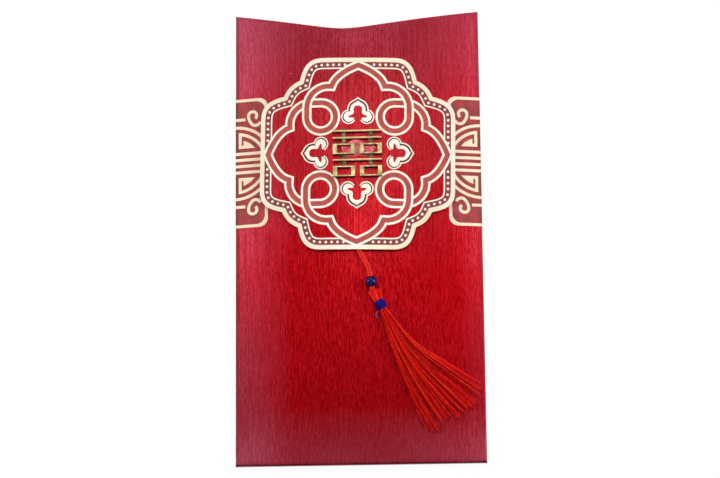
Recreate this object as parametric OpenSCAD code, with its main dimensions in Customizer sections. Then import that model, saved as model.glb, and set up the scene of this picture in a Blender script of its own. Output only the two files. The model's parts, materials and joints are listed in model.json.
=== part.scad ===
// Red gift envelope: a folded card pocket with a raised ornamental plate, a metal
// fretwork charm and a silk tassel. It lies on its back, front face up.

/* [Envelope] */
// Width across the side folds
env_w = 90; // [84:1:110]
// Length from the bottom fold to the top corners
env_h = 170; // [164:1:200]
// Thickness of the card
card_t = 0.35; // [0.25:0.05:0.45]
// How far the front swells above its side folds
swell = 5.5; // [4:0.5:7]
// How far the top edge dips below its corners
top_dip = 7.2; // [5:0.1:8]
// Sideways place of the lowest point of the top edge
dip_x = -4.5; // [-8:0.5:8]
// Radius of the rounded bottom of the dip
dip_r = 6; // [3:0.5:10]
// Outer radius of the side folds
fold_r = 0.6; // [0.5:0.05:0.8]
// Free gap between the closing flap and the back
layer_gap = 0.05; // [0.03:0.01:0.1]

/* [Flaps] */
// Least width of the fixed hem between the dip and the flap's score
hem_w = 2.2; // [1.5:0.1:3]
// Length of the closing flap
flap_l = 21.5; // [16:0.5:23]
// Radius of the flap's free corners
flap_corner_r = 7; // [3:0.5:9]
// Width of the mouth between the hem and the back
mouth_w = 10; // [8:0.5:12]
// Length of the glued bottom flap
bottom_flap_l = 21; // [15:1:26]
// Width of the glue tab inside the left side
tab_w = 11.5; // [8:0.5:14]

/* [Medallion] */
// Half the width of the plate
med_half = 35.7; // [34:0.1:37]
// Height of the plate as a share of its width
med_tall_share = 1.02; // [1:0.005:1.03]
// Half the length of each straight side
med_flat = 13.4; // [12:0.2:14.4]
// Distance of the plate's middle below the top corners
med_down = 55.85; // [55:0.05:57]
// Turn of the plate as it was stuck on, in degrees
med_turn = -1.16; // [-2:0.02:2]
// Thickness of the plate
med_t = 0.5; // [0.4:0.05:0.8]
// Thickness of the foam pads behind it
foam_t = 1.1; // [1.1:0.05:1.5]
// Side of one foam pad
foam_side = 12; // [8:0.5:14]
// Width of the gold rim
rim_w = 1.6; // [1.2:0.1:1.8]
// Width of the dotted band
band_w = 2.1; // [1.8:0.1:2.3]
// Width of the thin line inside the band
thin_line = 0.5; // [0.4:0.05:0.6]
// Diameter of a dot
dot_d = 0.95; // [0.7:0.05:1.1]
// Distance from dot to dot
dot_pitch = 2.15; // [1.8:0.05:2.6]
// Full width of the interlaced ribbon
ribbon_w = 3.45; // [3:0.05:3.6]
// Width of the two lines along the ribbon
ribbon_line = 0.8; // [0.6:0.05:0.9]
// Radius of the ribbon's corner loops
loop_r = 5.3; // [5:0.1:5.5]
// Width of a cloud motif's outline
cloud_outline = 0.42; // [0.3:0.02:0.5]
// Thickness of the stamped foil
foil_t = 0.1; // [0.08:0.01:0.15]
// Thickness of the printed grounds
ink_t = 0.04; // [0.03:0.01:0.06]

/* [Side bands] */
// Half the length of a side band
wing_half = 24.6; // [23:0.1:25]
// Distance of the bands' middle below the top corners
band_down = 57.7; // [57:0.1:58]
// How far the print runs off level at each fold
print_skew = 0.45; // [0:0.05:0.8]
// Reach of a band from the fold under the plate
wing_reach = 11.9; // [11.5:0.1:13]
// Width of a band's lines
wing_line = 1.1; // [0.9:0.05:1.2]

/* [Charm] */
// Width of the fretwork charm
charm_w = 18; // [16:0.2:20]
// Distance of the charm's middle below the plate's
charm_down = 0.47; // [0:0.01:1]
// Turn of the charm as it was glued on, in degrees
charm_turn = 0.3; // [-2:0.1:2]
// Thickness of the charm
charm_t = 1.2; // [0.8:0.1:1.6]
// Width of its bars
charm_bar = 0.8; // [0.6:0.05:0.9]
// Width of its posts
charm_post = 1.4; // [1:0.1:1.6]
// Thickness of the posts, which lie lower than the bars
post_t = 0.75; // [0.5:0.05:1]
// Wall at the ends of its small frames
charm_wall = 1.6; // [1.2:0.1:1.8]
// Thickness of the glue under it
pad_t = 0.35; // [0.3:0.05:0.5]

/* [Tassel] */
// Diameter of one strand of the doubled cord
cord_d = 0.9; // [0.7:0.05:0.9]
// Diameter of the round bead
bead_d = 4.3; // [4:0.1:4.6]
// Length of the looped head
head_l = 4.4; // [4:0.1:5]
// Width of the looped head
head_w = 3.7; // [3.2:0.1:4]
// Diameter of the neck inside the wound collar
neck_d = 2.6; // [2.2:0.1:2.8]
// Length of the wound collar
collar_l = 3.8; // [3:0.1:4.5]
// Diameter of the winding thread
thread_d = 0.36; // [0.3:0.02:0.4]
// Turns of the winding
collar_turns = 4; // [3:1:4]
// Length of the skirt
skirt_l = 48; // [40:0.5:50]
// Locks across the skirt
skirt_locks = 13; // [9:1:15]
// Layers of locks
skirt_layers = 3; // [2:1:3]
// Thickness of the spread skirt
skirt_t = 2; // [1.6:0.1:2.2]

/* [Hidden] */

// Overrun of every cut
over = 1;
// Clearance between fixed pieces whose curved faces meet
seat = 0.02;
half_w = env_w / 2;
half_h = env_h / 2;
med_y = half_h - med_down;
wing_y = half_h - band_down;
// Levels of the card layers above the table
back_z = card_t + layer_gap;
tab_z = back_z + card_t;
inner_z = tab_z + card_t;
edge_z = inner_z + card_t;
// The front's cross-section is an arc over the side folds
dome_r = (half_w ^ 2 + swell ^ 2) / (2 * swell);
dome_z0 = edge_z + swell - dome_r;
// Below the plate the swell runs out to nothing at the bottom fold
knee_below = 1.75;
knee_blend = 12;
med_foot = med_y - med_half * med_tall_share;
knee_y = med_foot - knee_below;
fall = swell / (knee_y + half_h);
// The flap's score runs straight across below the dip
score_y = half_h - top_dip - card_t - hem_w;
score_gap = 0.1;
flap_side_gap = 2.5;
mouth_y = score_y - mouth_w;
// Levels on the raised plate
plate_r = dome_r + foam_t;
print_r = plate_r + med_t;
cols = 15;
rings = 26;
fine = 720;

function dip_rise(x) = let (d = x - dip_x, e = (x < dip_x ? -half_w : half_w) - dip_x)
    (sqrt(d ^ 2 + dip_r ^ 2) - dip_r) / (sqrt(e ^ 2 + dip_r ^ 2) - dip_r);
function top_y(x) = half_h - top_dip * (1 - dip_rise(x));
function swell_at(y) = y >= knee_y + knee_blend ? swell
    : y <= knee_y - knee_blend ? fall * (y + half_h)
    : swell - fall * (knee_y + knee_blend - y) ^ 2 / (4 * knee_blend);
function dome(x, y) = edge_z + swell_at(y) / swell * (sqrt(dome_r ^ 2 - x ^ 2) - dome_r + swell);

// A stack of closed rings with the same number of points becomes one skin
function strip(a, b, c, d) = [[a, b, c], [a, c, d]];
function loft_faces(m, k) = concat(
    [for (r = [0:m - 2], i = [0:k - 1]) each strip(r * k + i, (r + 1) * k + i,
        (r + 1) * k + (i + 1) % k, r * k + (i + 1) % k)],
    [[for (i = [0:k - 1]) i]], [[for (i = [k - 1:-1:0]) (m - 1) * k + i]]);
module loft(stack) polyhedron([for (ring = stack) each ring], loft_faces(len(stack), len(stack[0])));

function unit(v) = v / norm(v);
function tangent(p, i) = unit(p[min(i + 1, len(p) - 1)] - p[max(i - 1, 0)]);
// A round tube along points, with the reference direction that keeps its rings square
module tube(p, r, sides, ups) loft([for (i = [0:len(p) - 1])
    let (t = tangent(p, i), s = unit(cross(ups[i], t)), u = cross(t, s))
    [for (k = [0:sides - 1]) p[i] + r * (cos(k * 360 / sides) * s + sin(k * 360 / sides) * u)]]);

// Front panel
fold_steps = 3;
function fold_arc(side, y, r) = let (x = side * (half_w - fold_r), z = dome(x, y) - fold_r)
    [for (k = [0:fold_steps]) let (a = side < 0 ? 180 - k * 90 / fold_steps : 90 - k * 90 / fold_steps)
        [x + r * cos(a), z + r * sin(a)]];
dome_half = half_w - fold_r;
function mid_cols() = [for (i = [-cols + 1:cols - 1]) i * dome_half / cols];
bottom_y = -half_h + card_t;
function row_y(x, v) = bottom_y + v * (top_y(x) - bottom_y);
function outer_row(v) = concat([[-half_w, back_z]], fold_arc(-1, row_y(-half_w, v), fold_r),
    [for (x = mid_cols()) [x, dome(x, row_y(x, v))]],
    fold_arc(1, row_y(half_w, v), fold_r), [[half_w, back_z]]);
function inner_row(v) = concat([[card_t - half_w, back_z]], fold_arc(-1, row_y(-half_w, v), fold_r - card_t),
    [for (x = mid_cols()) [x, dome(x, row_y(x, v)) - card_t]],
    fold_arc(1, row_y(half_w, v), fold_r - card_t), [[half_w - card_t, back_z]]);
module front_panel() {
    n = len(outer_row(0));
    pts = [for (r = [0:rings]) let (v = r / rings)
        each concat([for (p = outer_row(v)) [p[0], row_y(p[0], v), p[1]]],
            [for (p = inner_row(v)) [p[0], row_y(p[0], v), p[1]]])];
    w = 2 * n;
    faces = concat(
        [for (r = [0:rings - 1], i = [0:n - 2]) each strip(r * w + i, (r + 1) * w + i,
            (r + 1) * w + i + 1, r * w + i + 1)],
        [for (r = [0:rings - 1], i = [n:w - 2]) each strip(r * w + i, r * w + i + 1,
            (r + 1) * w + i + 1, (r + 1) * w + i)],
        [for (i = [0:n - 2]) each strip(i, i + 1, n + i + 1, n + i)],
        [for (i = [0:n - 2]) each strip(rings * w + i + 1, rings * w + i,
            rings * w + n + i, rings * w + n + i + 1)],
        [for (r = [0:rings - 1]) each strip(r * w, r * w + n, (r + 1) * w + n, (r + 1) * w)],
        [for (r = [0:rings - 1]) each strip(r * w + w - 1, r * w + n - 1,
            (r + 1) * w + n - 1, (r + 1) * w + w - 1)]);
    color([0.72, 0.07, 0.11]) polyhedron(pts, faces);
}

// Back, glue tab and flaps
back_half = half_w - card_t - seat;
module back_panel() color([0.62, 0.06, 0.1]) translate([-back_half, bottom_y, back_z])
    cube([2 * back_half, mouth_y - bottom_y, card_t]);

tab_end_gap = 5;
tab_x = fold_r + seat - half_w;
module side_glue_tab() color([0.86, 0.8, 0.76]) translate([0, 0, tab_z + seat / 2])
    linear_extrude(card_t - seat) polygon([
        [tab_x, bottom_y + tab_end_gap], [tab_x + tab_w, bottom_y + 2 * tab_end_gap],
        [tab_x + tab_w, mouth_y - 2 * tab_end_gap], [tab_x, mouth_y - tab_end_gap]]);

bottom_flap_taper = 4;
bottom_fold_r = 0.3;
module bottom_flap() color([0.62, 0.06, 0.1]) union() {
    translate([-half_w, -half_h, 0]) cube([env_w, card_t, edge_z - bottom_fold_r]);
    translate([-half_w, -half_h + bottom_fold_r, edge_z - bottom_fold_r]) rotate([0, 90, 0])
        intersection() {
            cylinder(r = bottom_fold_r, h = env_w, $fn = 32);
            translate([-bottom_fold_r, -bottom_fold_r, 0])
                cube([bottom_fold_r, bottom_fold_r, env_w]);
        }
    linear_extrude(card_t) polygon([[-half_w, -half_h], [half_w, -half_h],
        [half_w - bottom_flap_taper, bottom_flap_l - half_h],
        [bottom_flap_taper - half_w, bottom_flap_l - half_h]]);
}

edge_steps = 20;
function edge_x(i) = i * half_w / edge_steps;
function edge_line(drop) = [for (i = [-edge_steps:edge_steps]) [edge_x(i), top_y(edge_x(i)) - drop]];
function back_line(drop) = [for (i = [edge_steps:-1:-edge_steps]) [edge_x(i), top_y(edge_x(i)) - drop]];
module top_end_wall() color([0.66, 0.06, 0.1]) union() {
    linear_extrude(card_t) polygon(concat(edge_line(0), [[half_w, score_y], [-half_w, score_y]]));
    intersection() {
        linear_extrude(edge_z + swell) polygon(concat(edge_line(0), back_line(card_t)));
        translate([0, half_h + over, dome_z0]) rotate([90, 0, 0])
            cylinder(r = dome_r - card_t - seat, h = env_h, $fn = fine);
        translate([card_t + seat - half_w, 0, 0])
            cube([env_w - 2 * card_t - 2 * seat, half_h, edge_z + swell]);
    }
}

flap_half = half_w - flap_side_gap;
flap_taper = 2.5;
flap_corner = [flap_half - flap_taper - flap_corner_r, score_y - flap_l + flap_corner_r];
flap_side = concat([[flap_half, score_y - score_gap]], arc(flap_corner, flap_corner_r, 0, -90, 10));
module closing_flap() color([0.7, 0.07, 0.11]) linear_extrude(card_t)
    polygon(concat(flap_side, mirrored(flap_side)));

// Flat outlines are pressed onto the domed front, or onto the plate that follows it
module pressed(r, t) intersection() {
    linear_extrude(edge_z + swell + foam_t + med_t + over) children();
    translate([0, half_h, dome_z0]) rotate([90, 0, 0]) difference() {
        cylinder(r = r + t, h = env_h, $fn = fine);
        translate([0, 0, -over]) cylinder(r = r, h = env_h + 2 * over, $fn = fine);
    }
}
module on_medallion() translate([0, med_y]) rotate(med_turn) scale([1, med_tall_share]) children();

function arc(c, r, a0, a1, n) = [for (i = [0:n]) let (a = a0 + (a1 - a0) * i / n)
    c + r * [cos(a), sin(a)]];
function normal_at(p, i) = let (
    a = i > 0 ? unit(p[i] - p[i - 1]) : unit(p[1] - p[0]),
    b = i < len(p) - 1 ? unit(p[i + 1] - p[i]) : a, s = unit(a + b))
    [-s[1], s[0]] / (s * b);
function beside(p, d) = [for (i = [0:len(p) - 1]) p[i] + d * normal_at(p, i)];
function reversed(p) = [for (i = [len(p) - 1:-1:0]) p[i]];
function mirrored(p) = [for (q = reversed(p)) [-q[0], q[1]]];
function after_first(p) = [for (i = [1:len(p) - 1]) p[i]];
// All points but the last few
function first_of(p, less) = [for (i = [0:len(p) - 1 - less]) p[i]];
function bowed(p, q, s, n) = [for (i = [0:n]) let (t = i / n, v = q - p)
    p + t * v + 4 * t * (1 - t) * s * [-v[1], v[0]]];
module stroke(p, w) polygon(concat(beside(p, w / 2), reversed(beside(p, -w / 2))));

function curve(a, b, c, d, n) = [for (i = [0:n]) let (t = i / n)
    (1 - t) ^ 3 * a + 3 * t * (1 - t) ^ 2 * b + 3 * t ^ 2 * (1 - t) * c + t ^ 3 * d];

// The plate's outline: straight sides, a large lobe at each end of a side, a flatter one
// between. Corners and the lobe's control points are given across and outward.
cusp = [21.5, 27.3];
lobe_leads = [[5.6, 0], [-1, 4.6]];
small_lobe_bow = 0.108;
lobe_steps = 8;
side_end = [med_flat, med_half];
lobe = curve(side_end, side_end + lobe_leads[0], cusp + lobe_leads[1], cusp, lobe_steps);
function swapped(p) = [for (q = reversed(p)) [q[1], q[0]]];
octant = concat(first_of(lobe, 1), first_of(bowed(cusp, [cusp[1], cusp[0]], small_lobe_bow, lobe_steps), 1),
    swapped(lobe));
side_outline = [for (q = [0:3]) each [for (p = octant)
    [p[0] * cos(q * 90) + p[1] * sin(q * 90), p[1] * cos(q * 90) - p[0] * sin(q * 90)]]];
function closed_normal(p, i) = let (m = len(p), a = unit(p[i] - p[(i + m - 1) % m]),
    b = unit(p[(i + 1) % m] - p[i]), s = unit(a + b)) [-s[1], s[0]] / (s * b);
function outline(d) = [for (i = [0:len(side_outline) - 1])
    side_outline[i] - d * closed_normal(side_outline, i)];
module ring(d0, d1) difference() {
    polygon(outline(d0));
    polygon(outline(d1));
}

// The ribbon: an arch from each tip, a sharp shoulder, a sweep and a corner loop
tip_inset = 2.8;
ribbon_tip = med_half - tip_inset;
shoulder_shares = [0.296, 0.757];
arch_lead_shares = [[0.134, 0.948], [0.27, 0.869]];
loop_share = 0.41;
sweep_r = 7.8;
shoulder = ribbon_tip * shoulder_shares;
loop_c = ribbon_tip * loop_share;
outer_x = loop_c + loop_r;
sweep_c = [outer_x - sweep_r, shoulder[1] - sqrt(sweep_r ^ 2 - (shoulder[0] - outer_x + sweep_r) ^ 2)];
sweep_a = atan2(shoulder[1] - sweep_c[1], shoulder[0] - sweep_c[0]);
arch_steps = 7;
sweep_steps = 8;
loop_steps = 16;
half_ribbon = concat(
    first_of(curve([0, ribbon_tip], ribbon_tip * arch_lead_shares[0], ribbon_tip * arch_lead_shares[1],
        shoulder, arch_steps), 1),
    arc(sweep_c, sweep_r, sweep_a, 0, sweep_steps),
    [for (i = [0:loop_steps]) let (a = -135 * i / loop_steps) [loop_c, loop_c] + loop_r * [cos(a), sin(a)]]);
module right_of_tip() intersection() {
    children();
    translate([0, -med_half]) square(2 * med_half);
}
module over_strand(w) right_of_tip() stroke(concat([[-ribbon_w, ribbon_tip + ribbon_w / 2]], half_ribbon), w);
module under_strand(w) mirror([1, -1]) over_strand(w);
module quarters() for (sx = [0, 1], sy = [0, 1]) mirror([sx, 0]) mirror([0, sy]) children();
module ribbon_edges() quarters() {
    difference() {
        over_strand(ribbon_w);
        over_strand(ribbon_w - 2 * ribbon_line);
    }
    difference() {
        under_strand(ribbon_w);
        under_strand(ribbon_w - 2 * ribbon_line);
        over_strand(ribbon_w);
    }
}
module ribbon_whole() quarters() {
    over_strand(ribbon_w);
    under_strand(ribbon_w);
}

// Cloud motif: a pointed arch whose feet curl into two lobes, inside a thin outline.
// Places are measured across and outward from the plate's middle.
arch_y = 16.15;
arch_r = 2.8;
arch_point = 0.55;
arch_inner_r = 1.6;
arch_foot = [1.5, 15.2];
lobe_c = [3.2, 13.5];
cloud_lobe_r = 1.95;
curl_in = [3.2, 13.5];
curl_mouth = [1.75, 14.45];
curl_w = 0.35;
halo_y = 16.2;
halo_r = 3.7;
halo_point = 0.6;
halo_lobe_c = [3.35, 13.4];
halo_lobe_r = 2.5;
shade_w = 0.75;
mouth = [2.8, 4];
cloud_side = concat([[0, arch_y + arch_r + arch_point]], arc([0, arch_y], arch_r, 70, -14, 8),
    arc(lobe_c, cloud_lobe_r, 103, -165, 20),
    [curl_in + [0, -curl_w], curl_in + [curl_w, 0], curl_in + [0, curl_w], curl_mouth, arch_foot],
    arc([0, arch_y], arch_inner_r, 0, 68, 6));
halo_side = concat([[0, halo_y + halo_r + halo_point]], arc([0, halo_y], halo_r, 72, -5, 8),
    arc(halo_lobe_c, halo_lobe_r, 70, -152, 20));
halo_path = concat(mirrored(after_first(halo_side)), halo_side);
module cloud_body() polygon(concat(cloud_side, mirrored(after_first(cloud_side))));
module clouds() for (q = [0:3]) rotate(q * 90) {
    cloud_body();
    stroke(halo_path, cloud_outline);
}
// The dark print fills the gap between a cloud and its outline
module cloud_shades() for (q = [0:3]) rotate(q * 90) difference() {
    polygon(concat(halo_path, reversed(beside(halo_path, -shade_w))));
    stroke(halo_path, cloud_outline);
    cloud_body();
    translate([0, lobe_c[1] - mouth[1] / 2]) square(mouth, center = true);
}

module medallion_card() color([0.75, 0.06, 0.1]) pressed(plate_r, med_t) on_medallion()
    polygon(outline(0));

foam_at = 19;
module foam_pads() color([0.93, 0.93, 0.9]) pressed(dome_r + seat, foam_t - 2 * seat) on_medallion()
    for (sx = [-1, 1], sy = [-1, 1]) translate([sx * foam_at, sy * foam_at]) square(foam_side, center = true);

module rim_foil() color([0.97, 0.9, 0.72]) pressed(print_r, foil_t) on_medallion() ring(0, rim_w);

module dotted_band_print() color([0.5, 0.12, 0.12]) pressed(print_r, ink_t) on_medallion() difference() {
    ring(rim_w, rim_w + band_w);
    ribbon_whole();
}

// Dots at even steps along the middle of the band
band_path = outline(rim_w + band_w / 2);
function run(p, i) = i == 0 ? 0 : run(p, i - 1) + norm(p[i] - p[i - 1]);
band_runs = [for (i = [0:len(band_path) - 1]) run(band_path, i)];
band_length = band_runs[len(band_path) - 1] + norm(band_path[0] - band_path[len(band_path) - 1]);
dot_count = round(band_length / dot_pitch);
function dot_place(s) = let (i = max([for (k = [0:len(band_path) - 1]) if (band_runs[k] <= s) k]),
    j = (i + 1) % len(band_path), f = (s - band_runs[i]) / norm(band_path[j] - band_path[i]))
    band_path[i] + f * (band_path[j] - band_path[i]);
clear_of_tip = ribbon_w * 1.25;
module dot_foil() color([1, 0.97, 0.88]) for (k = [0:dot_count - 1]) let (
    p = dot_place((k + 0.5) * band_length / dot_count),
    v = p[1] * med_tall_share,
    x = p[0] * cos(med_turn) - v * sin(med_turn),
    y = p[0] * sin(med_turn) + v * cos(med_turn) + med_y)
    if (min(abs(p[0]), abs(p[1])) > clear_of_tip)
        translate([0, y, dome_z0]) rotate([0, asin(x / print_r), 0]) translate([0, 0, print_r + ink_t])
            cylinder(d = dot_d, h = foil_t, $fn = 24);

module inner_line_foil() color([0.97, 0.9, 0.72]) pressed(print_r, foil_t) on_medallion() difference() {
    ring(rim_w + band_w, rim_w + band_w + thin_line);
    ribbon_whole();
}

module ribbon_print() color([0.72, 0.3, 0.27]) pressed(print_r, ink_t) on_medallion() difference() {
    ribbon_whole();
    ribbon_edges();
}

module ribbon_line_foil() color([1, 0.95, 0.85]) pressed(print_r, foil_t) on_medallion() intersection() {
    ribbon_edges();
    polygon(outline(rim_w));
}

module cloud_shade_print() color([0.4, 0.1, 0.09]) pressed(print_r, ink_t) on_medallion() cloud_shades();

module cloud_foil() color([1, 0.97, 0.88]) pressed(print_r, foil_t) on_medallion() clouds();

// Side bands: lines, a scroll and half a roundel, running round the fold onto the back
roundel_r = 13.7;
inner_arc_r = 11.2;
wedge_r = 9.1;
wedge_low = 5.6;
wedge_base = 1.1;
slit_w = 0.7;
stem_at = 1.65;
bar_pitch = 2.38;
short_bar_y = 16.65;
short_bar_l = 3.6;
scroll_y = 18;
scroll_at = 6.3;
scroll_r = 1.55;
swing_r = 4.55;
tail_at = [7.4, 16.1];
tail_r = 1.93;
band_corner_r = 3.2;
scroll = concat(arc([scroll_at, scroll_y], scroll_r, -50, 180, 14),
    [for (k = [1:5]) let (a = 180 + k * 8.5)
        [scroll_at - scroll_r + swing_r, scroll_y] + swing_r * [cos(a), sin(a)]],
    arc(tail_at, tail_r, 228, 340, 8));
module corner_rect(reach, half) union() {
    translate([-over, -half]) square([reach - band_corner_r + over, 2 * half]);
    translate([-over, band_corner_r - half]) square([reach + over, 2 * (half - band_corner_r)]);
    for (s = [-1, 1]) translate([reach - band_corner_r, s * (half - band_corner_r)])
        circle(band_corner_r, $fn = 32);
}
module arc_band(r0, r1) difference() {
    circle(r1, $fn = 96);
    circle(r0, $fn = 96);
}
module half_band_lines() {
    difference() {
        corner_rect(wing_reach, wing_half);
        translate([-over, 0]) intersection() {
            translate([over, 0]) corner_rect(wing_reach - wing_line, wing_half - wing_line);
        }
    }
    arc_band(roundel_r - wing_line / 2, roundel_r + wing_line / 2);
    stroke(scroll, wing_line);
    translate([-over, short_bar_y - wing_line / 2]) square([short_bar_l + over, wing_line]);
    for (k = [0, 1]) translate([-over, bar_pitch * (k + 0.5) - wing_line / 2])
        square([wing_reach + over, wing_line]);
    intersection() {
        union() {
            arc_band(inner_arc_r - wing_line / 2, inner_arc_r + wing_line / 2);
            difference() {
                circle(wedge_r, $fn = 96);
                translate([0, wedge_low + wedge_base])
                    square([stem_at + wing_line / 2 + slit_w, wedge_r]);
            }
            translate([stem_at - wing_line / 2, wedge_low])
                square([wing_line, inner_arc_r - wedge_low - wing_line / 4]);
        }
        translate([stem_at - wing_line / 2, wedge_low - wing_line]) square(2 * roundel_r);
        union() {
            translate([0, wedge_low]) square(2 * roundel_r);
            translate([wedge_r, 0]) square(2 * roundel_r);
        }
    }
}
module band_lines() intersection() {
    union() for (s = [0, 1]) mirror([0, s]) intersection() {
        half_band_lines();
        translate([-over, 0]) square(3 * roundel_r);
    }
    corner_rect(wing_reach, wing_half);
}
// The flat pattern is laid from the fold inwards, on the front, on the fold and on the back
fold_bars = [[wing_half - wing_line, wing_half], [short_bar_y - wing_line / 2, short_bar_y + wing_line / 2],
    [roundel_r - wing_line / 2, roundel_r + wing_line / 2],
    [bar_pitch * 1.5 - wing_line / 2, bar_pitch * 1.5 + wing_line / 2],
    [bar_pitch / 2 - wing_line / 2, bar_pitch / 2 + wing_line / 2]];
module from_fold(side) translate([side * half_w, wing_y - side * print_skew]) mirror([side > 0 ? 1 : 0, 0])
    intersection() {
        children();
        translate([0, -env_h]) square(2 * env_h);
    }
module wrapped_round_fold(side, t) union() {
    pressed(dome_r, t) from_fold(side) children();
    translate([0, 0, back_z - t]) linear_extrude(t) from_fold(side) children();
}
module side_strip(side, y0, y1, t)
    translate([side * (half_w + t / 2), wing_y - side * print_skew + (y0 + y1) / 2, (back_z - t + edge_z) / 2])
        cube([t, y1 - y0, edge_z - back_z + t], center = true);
module band_print(side) color([0.6, 0.16, 0.18]) union() {
    wrapped_round_fold(side, ink_t) corner_rect(wing_reach, wing_half);
    side_strip(side, -wing_half, wing_half, ink_t);
}
module band_foil(side) color([0.98, 0.91, 0.78]) difference() {
    union() {
        wrapped_round_fold(side, ink_t + foil_t) band_lines();
        for (s = [-1, 1], b = fold_bars) side_strip(side, s * b[0], s * b[1], ink_t + foil_t);
    }
    pressed(dome_r - over, over + ink_t) square([2 * env_w, 2 * env_h], center = true);
    translate([-half_w - ink_t, -half_h, back_z - ink_t])
        cube([env_w + 2 * ink_t, env_h, edge_z - back_z + ink_t]);
}
module left_band_print() band_print(-1);
module right_band_print() band_print(1);
module left_band_foil() band_foil(-1);
module right_band_foil() band_foil(1);

// Charm: long bars, lower posts and small frames in one flat fretwork. Places along it
// are shares of its width, measured up from its middle.
charm_z = dome_z0 + print_r + pad_t;
frame_shares = [0.454, 0.225];
bar_shares = [0.469, 0.323, -0.142];
frame_row_shares = [0.089, -0.379];
// A small frame's long walls, as a share of a bar
frame_wall_share = 0.75;
post_top_share = 0.534;
frame_w = charm_w * frame_shares[0];
frame_h = charm_w * frame_shares[1];
function frame_places() = [for (s = [-1, 1], r = frame_row_shares)
    [s * (charm_w - frame_w) / 2, r * charm_w]];
module charm_bars() linear_extrude(charm_t) for (r = bar_shares)
    translate([0, r * charm_w]) square([charm_w, charm_bar], center = true);
module charm_posts() linear_extrude(post_t) for (s = [-1, 1])
    translate([s * (charm_w - frame_w) / 2 - charm_post / 2, frame_row_shares[1] * charm_w])
        square([charm_post, (post_top_share - frame_row_shares[1]) * charm_w]);
module charm_frames() linear_extrude(charm_t) for (p = frame_places())
    translate(p) square([frame_w, frame_h], center = true);
module charm_holes() for (p = frame_places()) translate([p[0], p[1], charm_t / 2])
    cube([frame_w - 2 * charm_wall, frame_h - 2 * frame_wall_share * charm_bar, charm_t + 2 * over],
        center = true);
module at_charm() translate([0, med_y - charm_down]) rotate(charm_turn) children();
module fretwork_charm() color([0.8, 0.72, 0.48]) translate([0, 0, charm_z]) at_charm() difference() {
    union() {
        charm_bars();
        charm_posts();
        charm_frames();
    }
    charm_holes();
}
// The glue is squeezed out round the upper frames
glue_shares = [0.34, 0.17];
glue_up_share = 0.1;
glue_steps = 32;
glue_wave_share = 0.12;
glue_outline = [for (k = [0:glue_steps - 1]) let (a = k * 360 / glue_steps,
    g = 1 + glue_wave_share * cos(3 * a + 40) + glue_wave_share * sin(5 * a))
    charm_w * [glue_shares[0] * g * cos(a), glue_up_share + glue_shares[1] * g * sin(a)]];
module charm_glue() color([0.85, 0.3, 0.33]) pressed(print_r, pad_t - seat) at_charm() polygon(glue_outline);

// Tassel. It lies in a plane that clears the swell as it swings, so its places are
// given in that plane: across, along (down the front is negative) and above it.
plane_gap = 0.25;
exit_out = 0.85;
exit_x = 0.45;
exit_y = med_foot - exit_out;
exit_z = edge_z + swell + (exit_y - knee_y) * fall + plane_gap;
plane_tilt = atan(fall);
module on_plane() translate([exit_x, exit_y, exit_z]) rotate([plane_tilt, 0, 0]) children();
up = [0, 0, 1];
function heading(a) = [sin(a), -cos(a), 0];

// The doubled cord leaves at a slant and rises to the height of the bead's hole. Its
// points are given in a plane turned to lie along the bead's hole.
cord_turn = 8;
axis_h = 2.2;
axis_x = 2.4;
cord_route = [[0.25, -0.65, 0.45], [0.8, -2.3, 0.75], [1.4, -4, 1.35], [1.98, -5.6, 1.95], [2.3, -7.2, 2.2],
    [2.4, -8.6, 2.2], [2.4, -10, 2.2], [2.4, -12, 2.2], [2.4, -14.05, 2.2]];
anchor_route = [[-0.15, 0.65, 0], [-0.5, 3, 0], [-0.8, 6, 0], [-1.2, 9, 0], [-1.5, 12, 0], [-1.6, 16, 0]];
anchor_gap = 0.1;
anchor_z = edge_z + swell + anchor_gap + cord_d / 2;
strand_gap = 0.06;
strand_side = (cord_d + strand_gap) / 2;
module strands(route) for (s = [-1, 1]) tube([for (p = route) p + [s * strand_side, 0, 0]],
    cord_d / 2, 8, [for (p = route) up]);
module hanging_cord() color([0.8, 0.12, 0.08]) on_plane() rotate(cord_turn) strands(cord_route);
module cord_anchor() color([0.8, 0.12, 0.08]) translate([exit_x, exit_y, anchor_z]) strands(anchor_route);

bead_at = 11.65;
bead_run = 0.05;
bore_r = cord_d + strand_gap / 2 + bead_run;
module round_bead() color([0.1, 0.1, 0.5]) on_plane() rotate(cord_turn) translate([axis_x, -bead_at, axis_h])
    difference() {
        sphere(d = bead_d, $fn = 64);
        rotate([90, 0, 0]) cylinder(r = bore_r, h = bead_d + 2 * over, center = true, $fn = 48);
    }

// Head, collar and skirt hang on the cord's loop
loop_at = 14.4;
tassel_turn = 28;
head_start = 0.3;
collar_from = head_start + head_l;
neck_end = collar_from + collar_l;
module on_loop() on_plane() rotate(cord_turn) translate([axis_x, -loop_at, axis_h]) rotate(-cord_turn) children();
module on_tassel() on_loop() rotate(tassel_turn) children();
// Each ring: place along the head, half width and half height
head_ring_shares = [[0, 0.3, 0.3], [0.1, 0.62, 0.55], [0.3, 0.9, 0.8], [0.55, 1, 0.86], [0.8, 0.88, 0.8], [1, 0.7, 0.7]];
head_sides = 14;
function oval(w, y, h) = [for (k = [0:head_sides - 1]) let (a = k * 360 / head_sides) [-w * cos(a), -y, h * sin(a)]];
module tassel_head() color([0.85, 0.13, 0.07]) on_tassel() loft(concat(
    [for (r = head_ring_shares) oval(r[1] * head_w / 2, head_start + r[0] * head_l, r[2] * head_w / 2)],
    [for (y = [collar_from + seat, neck_end]) oval(neck_d / 2, y, neck_d / 2)]));

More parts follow.
